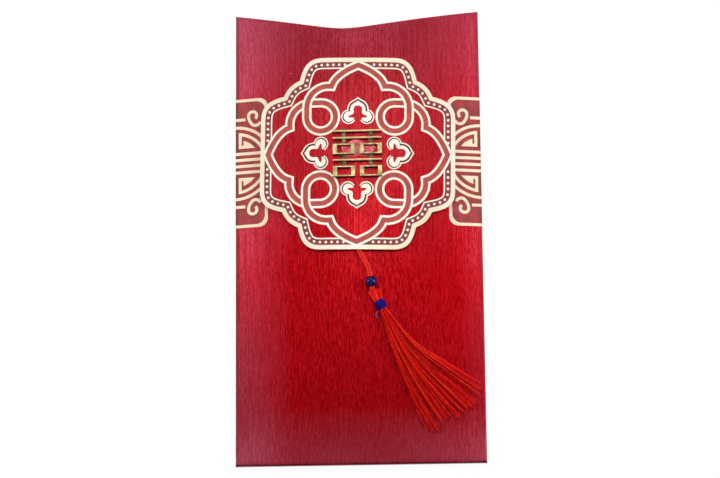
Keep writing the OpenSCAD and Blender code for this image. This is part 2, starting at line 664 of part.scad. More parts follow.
// The thread is wound as an open helix whose ends run straight
winding_r = neck_d / 2 + thread_d / 2 + seat;
turn_steps = 24;
winding_inset = 0.35;
winding_l = collar_l - 2 * winding_inset;
winding_steps = turn_steps * collar_turns;
winding_rise = winding_l / winding_steps;
function winding_at(i) = let (a = i * 360 / turn_steps)
    [winding_r * cos(a), -collar_from - winding_inset - winding_rise * i, winding_r * sin(a)];
winding_start = winding_at(0) + [0, 0, -thread_d];
winding_end = winding_at(winding_steps) + [0, 0, thread_d];
winding = concat([winding_start], [for (i = [0:winding_steps]) winding_at(i)], [winding_end]);
winding_gap = min([for (i = [0:winding_steps - turn_steps], k = [-2:2])
    if (i + turn_steps + k <= winding_steps) norm(winding_at(i + turn_steps + k) - winding_at(i))]) - thread_d;
echo(least_gap_of_winding_to_itself_mm = winding_gap);
module collar_winding() color([0.13, 0.12, 0.55]) on_tassel()
    tube(winding, thread_d / 2, 6, [for (p = winding) unit([p[0], 0, p[2]])]);

tail_l = 2.4;
tail_steps = 5;
tail_shares = [0.5, 0.8, 0.4];
function tail_point(i) = let (s = i / tail_steps)
    [-winding_r - thread_d - s * tail_l * tail_shares[0], -neck_end + thread_d - s * tail_l * tail_shares[1],
        -s * s * axis_h * tail_shares[2]];
module thread_tail() color([0.3, 0.15, 0.6]) on_tassel()
    tube([for (i = [0:tail_steps]) tail_point(i)], thread_d / 2, 6, [for (i = [0:tail_steps]) up]);

// Each lock starts at its own place on the neck and bends out to its own place on the hem
skirt_from = neck_end + seat;
fan_from = [11, 36];
fan_to = [35, 56];
knee_shares = [0.56, 0.4];
lock_rings = 8;
tip_share = 0.25;
taper_from_share = 0.7;
neck_fill_shares = [1, 0.72, 0.6];
fill_share = 0.78;
spread_t = skirt_t / skirt_layers;
low_h = 0.25;
function lock_length(q, j) = skirt_l * (0.965 + 0.035 * sin(q * 900 + j * 120) - 0.06 * q);
function lock_start(q, j) = let (a = heading(tassel_turn), s = [a[1], -a[0], 0])
    skirt_from * a - s * (q - 0.5) * neck_d * neck_fill_shares[0]
    + up * (j + 0.5 - skirt_layers / 2) * neck_d * neck_fill_shares[1] / skirt_layers;
function lock_point(q, j, t) = let (l = lock_length(q, j), p = lock_start(q, j),
    a = fan_from[0] + (fan_from[1] - fan_from[0]) * q, b = fan_to[0] + (fan_to[1] - fan_to[0]) * q,
    k = knee_shares[0] + (knee_shares[1] - knee_shares[0]) * q,
    m = p + k * l * heading(a), e = m + (1 - k) * l * heading(b),
    drop = (axis_h - low_h - spread_t * (j + 0.5)) + p[2])
    (1 - t) ^ 2 * p + 2 * t * (1 - t) * m + t ^ 2 * e - up * drop * t * (2 - t);
function lock_pitch(j, t) = norm(lock_point(1, j, t) - lock_point(0, j, t)) / (skirt_locks - 1);
function lock_width(j, t) = fill_share * lock_pitch(j, t) * (t < taper_from_share ? 1
    : 1 - (1 - tip_share) * ((t - taper_from_share) / (1 - taper_from_share)) ^ 1.5);
function lock_height(t) = (1 - t) * neck_d * neck_fill_shares[2] / skirt_layers + t * spread_t * 0.8;
function lock_ring(q, j, t) = let (c = lock_point(q, j, t),
    d = lock_point(q, j, min(t + 0.02, 1)) - lock_point(q, j, min(t + 0.02, 1) - 0.04),
    f = unit([d[0], d[1], 0]), s = [f[1], -f[0], 0], w = lock_width(j, t) / 2, h = lock_height(t) / 2)
    [c - s * w, c - up * h, c + s * w, c + up * h];
module tassel_skirt() color([0.88, 0.13, 0.06]) on_loop()
        for (i = [0:skirt_locks - 1], j = [0:skirt_layers - 1])
            loft([for (k = [0:lock_rings]) lock_ring(i / (skirt_locks - 1), j, k / lock_rings)]);

front_panel();
back_panel();
side_glue_tab();
bottom_flap();
top_end_wall();
closing_flap();
left_band_print();
right_band_print();
left_band_foil();
right_band_foil();
medallion_card();
foam_pads();
rim_foil();
dotted_band_print();
dot_foil();
inner_line_foil();
ribbon_print();
ribbon_line_foil();
cloud_shade_print();
cloud_foil();
charm_glue();
fretwork_charm();
cord_anchor();
hanging_cord();
round_bead();
tassel_head();
collar_winding();
thread_tail();
tassel_skirt();
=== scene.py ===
import json
import math
import random

import bmesh
import bpy
from mathutils import Matrix, Vector


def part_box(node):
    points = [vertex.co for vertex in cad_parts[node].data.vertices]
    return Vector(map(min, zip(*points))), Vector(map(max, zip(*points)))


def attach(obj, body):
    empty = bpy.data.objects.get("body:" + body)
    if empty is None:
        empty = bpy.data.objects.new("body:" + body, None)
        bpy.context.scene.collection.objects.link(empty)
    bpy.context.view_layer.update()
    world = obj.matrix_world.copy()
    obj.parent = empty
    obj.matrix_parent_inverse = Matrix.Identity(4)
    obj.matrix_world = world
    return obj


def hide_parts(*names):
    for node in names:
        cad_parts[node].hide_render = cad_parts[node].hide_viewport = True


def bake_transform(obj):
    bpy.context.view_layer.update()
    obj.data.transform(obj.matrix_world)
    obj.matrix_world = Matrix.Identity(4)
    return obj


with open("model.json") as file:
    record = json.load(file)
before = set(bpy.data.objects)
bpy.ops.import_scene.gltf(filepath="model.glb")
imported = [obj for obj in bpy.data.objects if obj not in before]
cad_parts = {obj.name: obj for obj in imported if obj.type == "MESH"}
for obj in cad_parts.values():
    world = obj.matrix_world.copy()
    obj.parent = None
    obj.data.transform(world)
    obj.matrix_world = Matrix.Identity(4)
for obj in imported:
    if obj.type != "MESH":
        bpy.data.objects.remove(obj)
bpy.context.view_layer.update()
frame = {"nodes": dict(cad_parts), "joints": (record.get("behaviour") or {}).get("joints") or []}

mm = 0.001
joints = {joint["name"]: joint for joint in frame["joints"]}
print("stage: frame loaded")

# Camera, placed as the photograph was taken: nearly straight above, from the foot end
shot = {
    "azimuth": 6.773,
    "elevation": 75.064,
    "roll": -0.602,
    "distance": 1061.13 * mm,
    "aimAt": (0.346 * mm, -1.236 * mm, 0),
    "focalPixels": 2905.19,
    "imageWidth": 720,
    "sensorWidth": 36,
    "nearest": 10 * mm,
}


def makeCamera():
    azimuth = math.radians(shot["azimuth"])
    elevation = math.radians(shot["elevation"])
    roll = math.radians(shot["roll"])
    back = Vector((math.sin(azimuth) * math.cos(elevation), -math.cos(azimuth) * math.cos(elevation),
                   math.sin(elevation)))
    flatRight = (-back).cross(Vector((0, 1, 0))).normalized()
    flatUp = flatRight.cross(-back)
    right = flatRight * math.cos(roll) + flatUp * math.sin(roll)
    up = flatUp * math.cos(roll) - flatRight * math.sin(roll)
    data = bpy.data.cameras.new("studioCamera")
    data.sensor_width = shot["sensorWidth"]
    data.lens = shot["focalPixels"] / shot["imageWidth"] * shot["sensorWidth"]
    data.clip_start = shot["nearest"]
    camera = bpy.data.objects.new("studioCamera", data)
    turn = Matrix((right, up, back)).transposed().to_4x4()
    camera.matrix_world = Matrix.Translation(Vector(shot["aimAt"]) + back * shot["distance"]) @ turn
    bpy.context.scene.collection.objects.link(camera)
    bpy.context.scene.camera = camera


makeCamera()


# Small helpers for node trees
def paint(red, green, blue):
    def linear(value):
        share = value / 255
        return share / 12.92 if share <= 0.04045 else ((share + 0.055) / 1.055) ** 2.4
    return (linear(red), linear(green), linear(blue), 1)


def setSocket(tree, socket, value):
    if isinstance(value, bpy.types.NodeSocket):
        tree.links.new(value, socket)
    else:
        socket.default_value = value


def put(tree, kind, settings=None, **sockets):
    made = tree.nodes.new(kind)
    for key, value in (settings or {}).items():
        setattr(made, key, value)
    for key, value in sockets.items():
        numbered = key[0] == "i" and key[1:].isdigit()
        setSocket(tree, made.inputs[int(key[1:]) if numbered else key], value)
    return made


def math2(tree, operation, first, second=0.0):
    return put(tree, "ShaderNodeMath", {"operation": operation}, i0=first, i1=second).outputs[0]


def mixColors(tree, share, first, second):
    made = tree.nodes.new("ShaderNodeMix")
    made.data_type = "RGBA"
    setSocket(tree, made.inputs["Factor"], share)
    setSocket(tree, made.inputs[6], first)
    setSocket(tree, made.inputs[7], second)
    return made.outputs[2]


def mixValues(tree, first, share, second):
    rest = math2(tree, "MULTIPLY", second, 1 - share)
    return put(tree, "ShaderNodeMath", {"operation": "MULTIPLY_ADD"}, i0=first, i1=share, i2=rest).outputs[0]


def spread(tree, value, low, high, toLow=0.0, toHigh=1.0):
    made = put(tree, "ShaderNodeMapRange", {"interpolation_type": "SMOOTHSTEP"}, Value=value)
    for key, number in (("From Min", low), ("From Max", high), ("To Min", toLow), ("To Max", toHigh)):
        setSocket(tree, made.inputs[key], number)
    return made.outputs[0]


def newGroup(name, inputs, outputs):
    tree = bpy.data.node_groups.new(name, "ShaderNodeTree")
    for key, value in inputs.items():
        socket = tree.interface.new_socket(name=key, in_out="INPUT", socket_type="NodeSocketFloat")
        socket.default_value = value
    for key in outputs:
        tree.interface.new_socket(name=key, in_out="OUTPUT", socket_type="NodeSocketFloat")
    return tree, tree.nodes.new("NodeGroupInput").outputs, tree.nodes.new("NodeGroupOutput").inputs


def place(tree, group, **sockets):
    made = tree.nodes.new("ShaderNodeGroup")
    made.node_tree = group
    for key, value in sockets.items():
        setSocket(tree, made.inputs[key], value)
    return made.outputs


def newMaterial(name):
    material = bpy.data.materials.new(name)
    material.use_nodes = True
    tree = material.node_tree
    tree.nodes.clear()
    output = tree.nodes.new("ShaderNodeOutputMaterial")
    shader = tree.nodes.new("ShaderNodeBsdfPrincipled")
    tree.links.new(shader.outputs[0], output.inputs["Surface"])
    return material, tree, shader


def objectPlace(tree):
    return put(tree, "ShaderNodeTexCoord").outputs["Object"]


def axes(tree, kind):
    return put(tree, "ShaderNodeSeparateXYZ", Vector=put(tree, "ShaderNodeTexCoord").outputs[kind]).outputs


def addBump(tree, shader, height, depth, strength):
    bump = put(tree, "ShaderNodeBump", Strength=strength, Distance=depth, Height=height)
    setSocket(tree, shader.inputs["Normal"], bump.outputs[0])


# Effects that several finishes share. Their sizes are given in millimetres.
effectShape = {
    "fineDetail": 3.0,
    "fineRoughness": 0.6,
    "broadStretch": (1.0, 0.13, 1.0),
    "broadDetail": 2.0,
    "broadShare": 0.42,
    "streakFrom": 0.41,
    "streakTo": 0.62,
    "mottleDetail": 4.0,
    "mottleRoughness": 0.55,
    "mottleFrom": 0.3,
    "mottleTo": 0.7,
}


def makeBrushedGrain():
    e = effectShape
    tree, given, result = newGroup("brushedGrain", {"Width": 0.3, "Length": 6.0, "Depth": 1.0},
                                   ("Streak", "Height"))
    perWidth = math2(tree, "DIVIDE", 1 / mm, given["Width"])
    perLength = math2(tree, "DIVIDE", 1 / mm, given["Length"])
    density = put(tree, "ShaderNodeCombineXYZ", X=perWidth, Y=perLength, Z=perWidth).outputs[0]
    multiply = {"operation": "MULTIPLY"}
    drawn = put(tree, "ShaderNodeVectorMath", multiply, i0=objectPlace(tree), i1=density).outputs[0]
    fine = put(tree, "ShaderNodeTexNoise", Vector=drawn, Scale=1.0, Detail=e["fineDetail"],
               Roughness=e["fineRoughness"]).outputs["Fac"]
    longer = put(tree, "ShaderNodeVectorMath", multiply, i0=drawn, i1=e["broadStretch"]).outputs[0]
    broad = put(tree, "ShaderNodeTexNoise", Vector=longer, Scale=1.0, Detail=e["broadDetail"]).outputs["Fac"]
    both = mixValues(tree, broad, e["broadShare"], fine)
    tree.links.new(spread(tree, both, e["streakFrom"], e["streakTo"]), result["Streak"])
    tree.links.new(math2(tree, "MULTIPLY", fine, given["Depth"]), result["Height"])
    return tree


def makeMottle():
    e = effectShape
    tree, given, result = newGroup("mottle", {"Size": 1.0, "Contrast": 0.5}, ("Mottle",))
    scale = math2(tree, "DIVIDE", 1 / mm, given["Size"])
    cloud = put(tree, "ShaderNodeTexNoise", Vector=objectPlace(tree), Scale=scale, Detail=e["mottleDetail"],
                Roughness=e["mottleRoughness"]).outputs["Fac"]
    half = math2(tree, "MULTIPLY", given["Contrast"], 0.5)
    low = math2(tree, "SUBTRACT", 0.5, half)
    high = math2(tree, "ADD", 0.5, half)
    tree.links.new(spread(tree, cloud, e["mottleFrom"], e["mottleTo"], low, high), result["Mottle"])
    return tree


def makeSpecks():
    tree, given, result = newGroup("specks", {"Spacing": 9.0, "Size": 0.12}, ("Speck",))
    scale = math2(tree, "DIVIDE", 1 / mm, given["Spacing"])
    cells = put(tree, "ShaderNodeTexVoronoi", Vector=objectPlace(tree), Scale=scale, Randomness=1.0)
    reach = math2(tree, "DIVIDE", given["Size"], given["Spacing"])
    dot = math2(tree, "LESS_THAN", cells.outputs["Distance"], reach)
    tree.links.new(dot, result["Speck"])
    return tree


brushedGrain = makeBrushedGrain()
mottle = makeMottle()
specks = makeSpecks()


def mottled(tree, size):
    return place(tree, mottle, Size=size, Contrast=1.0)["Mottle"]


# Red brushed foil card. The blank's inside is plain, and shows on the side that faces in.
foilCard = {
    "deep": paint(158, 0, 5),
    "bright": paint(214, 22, 34),
    # Painted reflection: the two haze colours stand in for the milky gloss of the lacquer over the red
    "paintedHaze": paint(190, 84, 108),
    "platePaintedHaze": paint(192, 84, 94),
    "speck": paint(240, 170, 170),
    "shadow": paint(0, 0, 0),
    "inside": paint(226, 208, 200),
    "cut": paint(246, 206, 186),
    "grainWidth": 0.3,
    "grainLength": 2.0,
    "grainDepth": 0.011 * mm,
    "cloudSize": 30.0,
    "paintedHazeByCloud": (0.8, 1.2),
    "paintedHazeByStreak": (0.72, 1.5),
    "speckSpacing": 13.0,
    "speckSize": 0.17,
    "metallic": 1.0,
    "roughness": 0.42,
    "darkStreakDuller": 0.06,
    "brightStreakGlossier": 0.04,
    "coat": 0.04,
    "coatRoughness": 0.25,
    "foldLine": -84.55 * mm,
    "faceSlope": 0.5,
    "cutSlope": 0.3,
}

# Painted light on the card, by place: a milky painted reflection over the red, painted shade that darkens it,
# and painted shade along its folds. Each fade gives axis, start and end in millimetres and full strength, and
# for a fade that keeps to the middle also its half width. Its inner share is at full strength.
innerShare = 0.4
cardFades = {
    "PaintedHaze": [(1, -15, 80, 0.3), (0, -24, -43, 0.31), (0, 36, 45, 0.12), (1, -64, -85, 0.38)],
    # Painted shade: darker towards the foot, at the top, up the left side and in the top middle
    "Depth": [(1, -24, -76, 0.24), (1, 54, 78, 0.17), (0, -32, -42, 0.14), (1, 42, 60, 0.27, 34)],
    # Painted shade along the side folds and the bottom fold
    "PaintedFoldShade": [(0, -43.9, -44.8, 0.62), (0, 44.1, 44.9, 0.5), (1, -84.1, -84.7, 0.55)],
}


def fadeBetween(tree, value, start, end, most):
    grown = put(tree, "ShaderNodeMapRange", Value=value)
    for key, number in (("From Min", start * mm), ("From Max", end * mm), ("To Max", most)):
        grown.inputs[key].default_value = number
    return grown.outputs[0]


def makeCardPaintedLight():
    tree, given, result = newGroup("cardPaintedLight", {}, tuple(cardFades))
    spots = axes(tree, "Object")
    for mask, fades in cardFades.items():
        total = 0.0
        for axis, start, end, most, *halfWidth in fades:
            grown = fadeBetween(tree, spots[axis], start, end, most)
            for reach in halfWidth:
                aside = math2(tree, "ABSOLUTE", spots[0])
                inward = fadeBetween(tree, aside, reach, innerShare * reach, 1.0)
                grown = math2(tree, "MULTIPLY", grown, inward)
            total = math2(tree, "ADD", total, grown)
        tree.links.new(total, result[mask])
    return tree


cardPaintedLight = makeCardPaintedLight()


def makeFoilCard(name, insideFaces=0, paintedHaze="paintedHaze", cutShows=False):
    f = foilCard
    material, tree, shader = newMaterial(name)
    grain = place(tree, brushedGrain, Width=f["grainWidth"], Length=f["grainLength"], Depth=1.0)
    streak = grain["Streak"]
    shade = place(tree, cardPaintedLight)
    red = mixColors(tree, streak, f["deep"], f["bright"])
    # Painted shade: the card is darkened by place towards black
    red = mixColors(tree, shade["Depth"], red, f["shadow"])
    # Painted reflection: a milky haze mixed in by place, broken up by the streaks and broad clouds
    paintedHazeShare = math2(tree, "MULTIPLY", shade["PaintedHaze"], spread(tree, streak, 0.0, 1.0, *f["paintedHazeByStreak"]))
    cloud = spread(tree, mottled(tree, f["cloudSize"]), 0.0, 1.0, *f["paintedHazeByCloud"])
    red = mixColors(tree, math2(tree, "MULTIPLY", paintedHazeShare, cloud), red, f[paintedHaze])
    # Painted shade: darkened along the folds
    red = mixColors(tree, shade["PaintedFoldShade"], red, f["shadow"])
    # Scattered pale specks
    paleSpecks = place(tree, specks, Spacing=f["speckSpacing"], Size=f["speckSize"])["Speck"]
    red = mixColors(tree, paleSpecks, red, f["speck"])
    metal = f["metallic"]
    if insideFaces:
        upward = axes(tree, "Normal")[2]
        inward = math2(tree, "MULTIPLY", upward, float(insideFaces))
        bare = math2(tree, "GREATER_THAN", inward, f["faceSlope"])
        pastFold = math2(tree, "GREATER_THAN", axes(tree, "Object")[1], f["foldLine"])
        bare = math2(tree, "MULTIPLY", bare, pastFold)
        red = mixColors(tree, bare, red, f["inside"])
        if cutShows:
            cut = math2(tree, "LESS_THAN", math2(tree, "ABSOLUTE", upward), f["cutSlope"])
            red = mixColors(tree, cut, red, f["cut"])
            bare = math2(tree, "MAXIMUM", bare, cut)
        metal = math2(tree, "MULTIPLY", math2(tree, "SUBTRACT", 1.0, bare), f["metallic"])
    setSocket(tree, shader.inputs["Base Color"], red)
    setSocket(tree, shader.inputs["Metallic"], metal)
    dull = f["roughness"] + f["darkStreakDuller"]
    glossy = f["roughness"] - f["brightStreakGlossier"]
    setSocket(tree, shader.inputs["Roughness"], spread(tree, streak, 0.0, 1.0, dull, glossy))
    addBump(tree, shader, grain["Height"], f["grainDepth"], 1.0)
    shader.inputs["Coat Weight"].default_value = f["coat"]
    shader.inputs["Coat Roughness"].default_value = f["coatRoughness"]
    return material


# Uncoated card and foam: colour, fibre size in millimetres, roughness
paperStock = {
    "inside": (paint(228, 212, 204), 2.5, 0.85),
    "foam": (paint(238, 236, 228), 0.5, 0.9),
    "dullShare": 0.86,
    "fibreDepth": 0.02 * mm,
    "fibreStrength": 0.4,
}


def makePaper(name, color, fibre, rough):
    material, tree, shader = newMaterial(name)
    cloud = mottled(tree, fibre)
    dull = tuple(channel * paperStock["dullShare"] for channel in color[:3]) + (1,)
    setSocket(tree, shader.inputs["Base Color"], mixColors(tree, cloud, dull, color))
    shader.inputs["Roughness"].default_value = rough
    addBump(tree, shader, cloud, paperStock["fibreDepth"], paperStock["fibreStrength"])
    return material


# Set glue under the charm, with the red of the card showing through where it is thin, and its sloping sides
# lighter as painted highlight
setGlue = {
    "thin": paint(200, 30, 44),
    "thick": paint(242, 96, 98),
    "paintedFlank": paint(246, 130, 128),
    "cloudSize": 2.4,
    "thinToThick": (0.3, 0.8),
    "paintedFlankToTop": (0.2, 0.9),
    "roughness": 0.25,
    "waveDepth": 0.08 * mm,
    "waveStrength": 0.3,
}


def makeGlue():
    g = setGlue
    material, tree, shader = newMaterial("setGlue")
    cloud = mottled(tree, g["cloudSize"])
    color = mixColors(tree, spread(tree, cloud, *g["thinToThick"]), g["thin"], g["thick"])
    # Painted highlight: the glue's sloping sides are lighter than its top
    color = mixColors(tree, spread(tree, axes(tree, "Normal")[2], *g["paintedFlankToTop"]), g["paintedFlank"], color)
    setSocket(tree, shader.inputs["Base Color"], color)
    shader.inputs["Roughness"].default_value = g["roughness"]
    addBump(tree, shader, cloud, g["waveDepth"], g["waveStrength"])
    return material


# Stamped foil, cream where it faces the light and yellower in patches
stampedFoil = {
    "rim": (paint(243, 230, 216), paint(230, 220, 184)),
    "line": (paint(250, 244, 234), paint(246, 234, 214)),
    "band": (paint(240, 222, 194), paint(230, 210, 176)),
    "patchSize": 14.0,
    "pore": paint(190, 150, 110),
    "poreSize": 0.35,
    "poreShare": 0.12,
    "poreDepth": 0.01 * mm,
    "poreStrength": 0.25,
    "metallic": 0.25,
    "roughness": 0.34,
    "poreDuller": 0.14,
}


def makeStampedFoil(name, colors):
    s = stampedFoil
    material, tree, shader = newMaterial(name)
    pores = mottled(tree, s["poreSize"])
    color = mixColors(tree, mottled(tree, s["patchSize"]), *colors)
    color = mixColors(tree, math2(tree, "MULTIPLY", pores, s["poreShare"]), color, s["pore"])
    setSocket(tree, shader.inputs["Base Color"], color)
    shader.inputs["Metallic"].default_value = s["metallic"]
    rough = spread(tree, pores, 0.0, 1.0, s["roughness"], s["roughness"] + s["poreDuller"])
    setSocket(tree, shader.inputs["Roughness"], rough)
    addBump(tree, shader, pores, s["poreDepth"], s["poreStrength"])
    return material


# Dull printed grounds: light and dark colour, size of their clouds in millimetres
printInks = {
    "band": (paint(172, 44, 48), paint(116, 30, 32), 3.0),
    "dotted": (paint(146, 40, 42), paint(102, 26, 28), 2.0),
    "ribbon": (paint(180, 73, 58), paint(148, 47, 40), 2.2),
    "shade": (paint(96, 28, 26), paint(60, 14, 14), 1.2),
    "streakWidth": 0.3,
    "streakLength": 5.0,
    "streakShare": 0.35,
    "roughness": 0.55,
    "streakDepth": 0.006 * mm,
    "streakStrength": 0.5,
}


def makeInk(name, light, dark, size):
    p = printInks
    material, tree, shader = newMaterial(name)
    grain = place(tree, brushedGrain, Width=p["streakWidth"], Length=p["streakLength"], Depth=1.0)
    both = mixValues(tree, grain["Streak"], p["streakShare"], mottled(tree, size))
    color = mixColors(tree, both, light, dark)
    # Painted shade: the print is darkened along the card's folds
    color = mixColors(tree, place(tree, cardPaintedLight)["PaintedFoldShade"], color, foilCard["shadow"])
    setSocket(tree, shader.inputs["Base Color"], color)
    shader.inputs["Roughness"].default_value = p["roughness"]
    addBump(tree, shader, grain["Height"], p["streakDepth"], p["streakStrength"])
    return material


# Plated casting of the charm. The posts get a darker copy of the plating as painted shade, as they lie lower
# between the bars; the frames get a darker, greener copy than the bars; the near-black flank colour is
# painted shade on the sides.
charmMetal = {
    "bar": (paint(238, 202, 156), paint(208, 162, 116)),
    "frame": (paint(208, 190, 138), paint(134, 121, 74)),
    # Painted shade: the posts' darker copy of the plating
    "post": (paint(134, 124, 82), paint(46, 42, 22)),
    "paintedFlank": paint(26, 14, 8),
    "paintedFlankToTop": (0.2, 0.8),
    "cloudSize": 1.3,
    "cloudShare": 0.6,
    "streakWidth": 0.4,
    "streakLength": 3.0,
    "metallic": 0.75,
    "roughness": (0.28, 0.46),
    "pitDepth": 0.03 * mm,
    "pitStrength": 0.35,
}


def makeCharmMetal(name, colors):
    m = charmMetal
    material, tree, shader = newMaterial(name)
    cloud = mottled(tree, m["cloudSize"])
    streak = place(tree, brushedGrain, Width=m["streakWidth"], Length=m["streakLength"], Depth=1.0)["Streak"]
    color = mixColors(tree, mixValues(tree, cloud, m["cloudShare"], streak), *colors)
    # Painted shade: faces that do not face up are darkened to near black
    color = mixColors(tree, spread(tree, axes(tree, "Normal")[2], *m["paintedFlankToTop"]), m["paintedFlank"], color)
    setSocket(tree, shader.inputs["Base Color"], color)
    shader.inputs["Metallic"].default_value = m["metallic"]
    setSocket(tree, shader.inputs["Roughness"], spread(tree, cloud, 0.0, 1.0, *m["roughness"]))
    addBump(tree, shader, cloud, m["pitDepth"], m["pitStrength"])
    return material


# Glazed bead
beadGlaze = {
    "body": paint(4, 3, 30),
    "swirl": paint(14, 11, 84),
    "shine": paint(190, 186, 255),
    "cloudSize": 1.4,
    "roughness": (0.19, 0.28),
}


def makeBeadGlaze():
    b = beadGlaze
    material, tree, shader = newMaterial("beadGlaze")
    cloud = mottled(tree, b["cloudSize"])
    setSocket(tree, shader.inputs["Base Color"], mixColors(tree, cloud, b["body"], b["swirl"]))
    setSocket(tree, shader.inputs["Roughness"], spread(tree, cloud, 0.0, 1.0, *b["roughness"]))
    shader.inputs["Specular Tint"].default_value = b["shine"]
    return material


# Silk thread: each strand carries its own tone in the attribute strandTone
silkDyes = {
    "skirt": (paint(162, 1, 2), paint(232, 18, 7), paint(250, 70, 34)),
    "cord": (paint(150, 8, 6), paint(218, 40, 24), paint(255, 110, 74)),
    "winding": (paint(6, 4, 40), paint(18, 12, 116), paint(56, 46, 168)),
    "tail": (paint(92, 14, 76), paint(136, 30, 104), paint(190, 90, 150)),
    "toneShare": 0.7,
    "cloudSize": 1.1,
    "deepToMiddle": (0.05, 0.55),
    "middleToBright": (0.6, 1.0),
    "roughness": (0.34, 0.5),
    "specular": 0.12,
}


def makeSilk(name, dyes):
    s = silkDyes
    material, tree, shader = newMaterial(name)
    tone = put(tree, "ShaderNodeAttribute", {"attribute_name": "strandTone"}).outputs["Fac"]
    cloud = mottled(tree, s["cloudSize"])
    both = mixValues(tree, tone, s["toneShare"], cloud)
    color = mixColors(tree, spread(tree, both, *s["deepToMiddle"]), dyes[0], dyes[1])
    color = mixColors(tree, spread(tree, both, *s["middleToBright"]), color, dyes[2])
    setSocket(tree, shader.inputs["Base Color"], color)
    setSocket(tree, shader.inputs["Roughness"], spread(tree, cloud, 0.0, 1.0, *s["roughness"]))
    shader.inputs["Specular IOR Level"].default_value = s["specular"]
    return material


finishes = {
    "front": makeFoilCard("redFoilCard"),
    "insideUp": makeFoilCard("redFoilCardInsideUp", 1),
    "insideDown": makeFoilCard("redFoilCardInsideDown", -1, "platePaintedHaze", True),
    "paper": makePaper("uncoatedInside", *paperStock["inside"]),
    "foam": makePaper("stickyFoam", *paperStock["foam"]),
    "glue": makeGlue(),
    "goldRim": makeStampedFoil("stampedFoilRim", stampedFoil["rim"]),
    "goldLine": makeStampedFoil("stampedFoilLine", stampedFoil["line"]),
    "goldBand": makeStampedFoil("stampedFoilBand", stampedFoil["band"]),
    "bandInk": makeInk("dullRedPrint", *printInks["band"]),
    "dottedInk": makeInk("darkRedPrint", *printInks["dotted"]),
    "ribbonInk": makeInk("salmonPrint", *printInks["ribbon"]),
    "shadeInk": makeInk("brownPrint", *printInks["shade"]),
    "charmBar": makeCharmMetal("platedBars", charmMetal["bar"]),
    "charmFrame": makeCharmMetal("platedFrames", charmMetal["frame"]),
    "charmPostShaded": makeCharmMetal("platedPostsShaded", charmMetal["post"]),
    "bead": makeBeadGlaze(),
    "skirtSilk": makeSilk("skirtSilk", silkDyes["skirt"]),
    "cordSilk": makeSilk("cordSilk", silkDyes["cord"]),
    "windingSilk": makeSilk("windingSilk", silkDyes["winding"]),
    "tailSilk": makeSilk("tailSilk", silkDyes["tail"]),
}
print("stage: finishes made")

# CAD nodes that keep their shape
nodeFinish = {
    "back_panel": "insideUp",
    "closing_flap": "insideUp",
    "bottom_flap": "insideUp",
    "top_end_wall": "front",
    "side_glue_tab": "paper",
    "left_band_print": "bandInk",
    "right_band_print": "bandInk",
    "left_band_foil": "goldBand",
    "right_band_foil": "goldBand",
    "medallion_card": "insideDown",
    "foam_pads": "foam",
    "rim_foil": "goldRim",
    "dotted_band_print": "dottedInk",
    "dot_foil": "goldLine",
    "inner_line_foil": "goldLine",
    "ribbon_print": "ribbonInk",
    "ribbon_line_foil": "goldLine",
    "cloud_foil": "goldLine",
    "cloud_shade_print": "shadeInk",
    "charm_glue": "glue",
}
for nodeName, finishName in nodeFinish.items():
    nodeMesh = frame["nodes"][nodeName].data
    nodeMesh.materials.clear()
    nodeMesh.materials.append(finishes[finishName])


def addPiece(name, vertices, faces, body, materials, faceMaterial=None, smoothAngle=40, replaces=()):
    mesh = bpy.data.meshes.new(name)
    mesh.from_pydata([tuple(v) for v in vertices], [], faces)
    for finishName in materials:
        mesh.materials.append(finishes[finishName])
    if faceMaterial:
        mesh.polygons.foreach_set("material_index", faceMaterial)
    mesh.polygons.foreach_set("use_smooth", [True] * len(mesh.polygons))
    mesh.set_sharp_from_angle(angle=math.radians(smoothAngle))
    mesh.validate()
    mesh.update()
    piece = bpy.data.objects.new(name, mesh)
    bpy.context.scene.collection.objects.link(piece)
    if body:
        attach(piece, body)
    if replaces:
        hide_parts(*replaces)
    return piece


# Front panel, swelling over its side folds and falling away below the plate
panelShape = {
    "halfWidth": 45 * mm,
    "halfLength": 85 * mm,
    "card": 0.35 * mm,
    "swell": 5.5 * mm,
    "topDip": 7.2 * mm,
    "dipAcross": -4.5 * mm,
    "dipRound": 6 * mm,
    "foldRadius": 0.6 * mm,
    "backLevel": 0.4 * mm,
    "edgeLevel": 1.45 * mm,
    "kneeAlong": -9.014 * mm,
    "kneeBlend": 12 * mm,
    "columns": 64,
    "rows": 96,
    "foldSteps": 7,
    "endSteps": (0.0, 0.05, 0.12, 0.21, 0.32),
    "endRound": 0.28 * mm,
}


def topEdgeAt(x):
    p = panelShape
    def reach(d):
        return math.hypot(d, p["dipRound"]) - p["dipRound"]
    corner = (-p["halfWidth"] if x < p["dipAcross"] else p["halfWidth"]) - p["dipAcross"]
    return p["halfLength"] - p["topDip"] * (1 - reach(x - p["dipAcross"]) / reach(corner))


def swellAt(y):
    p = panelShape
    fall = p["swell"] / (p["kneeAlong"] + p["halfLength"])
    if y >= p["kneeAlong"] + p["kneeBlend"]:
        return p["swell"]
    if y <= p["kneeAlong"] - p["kneeBlend"]:
        return fall * (y + p["halfLength"])
    return p["swell"] - fall * (p["kneeAlong"] + p["kneeBlend"] - y) ** 2 / (4 * p["kneeBlend"])


def frontLevel(x, y):
    p = panelShape
    radius = (p["halfWidth"] ** 2 + p["swell"] ** 2) / (2 * p["swell"])
    rise = math.sqrt(radius ** 2 - x ** 2) - radius + p["swell"]
    return p["edgeLevel"] + swellAt(y) / p["swell"] * rise


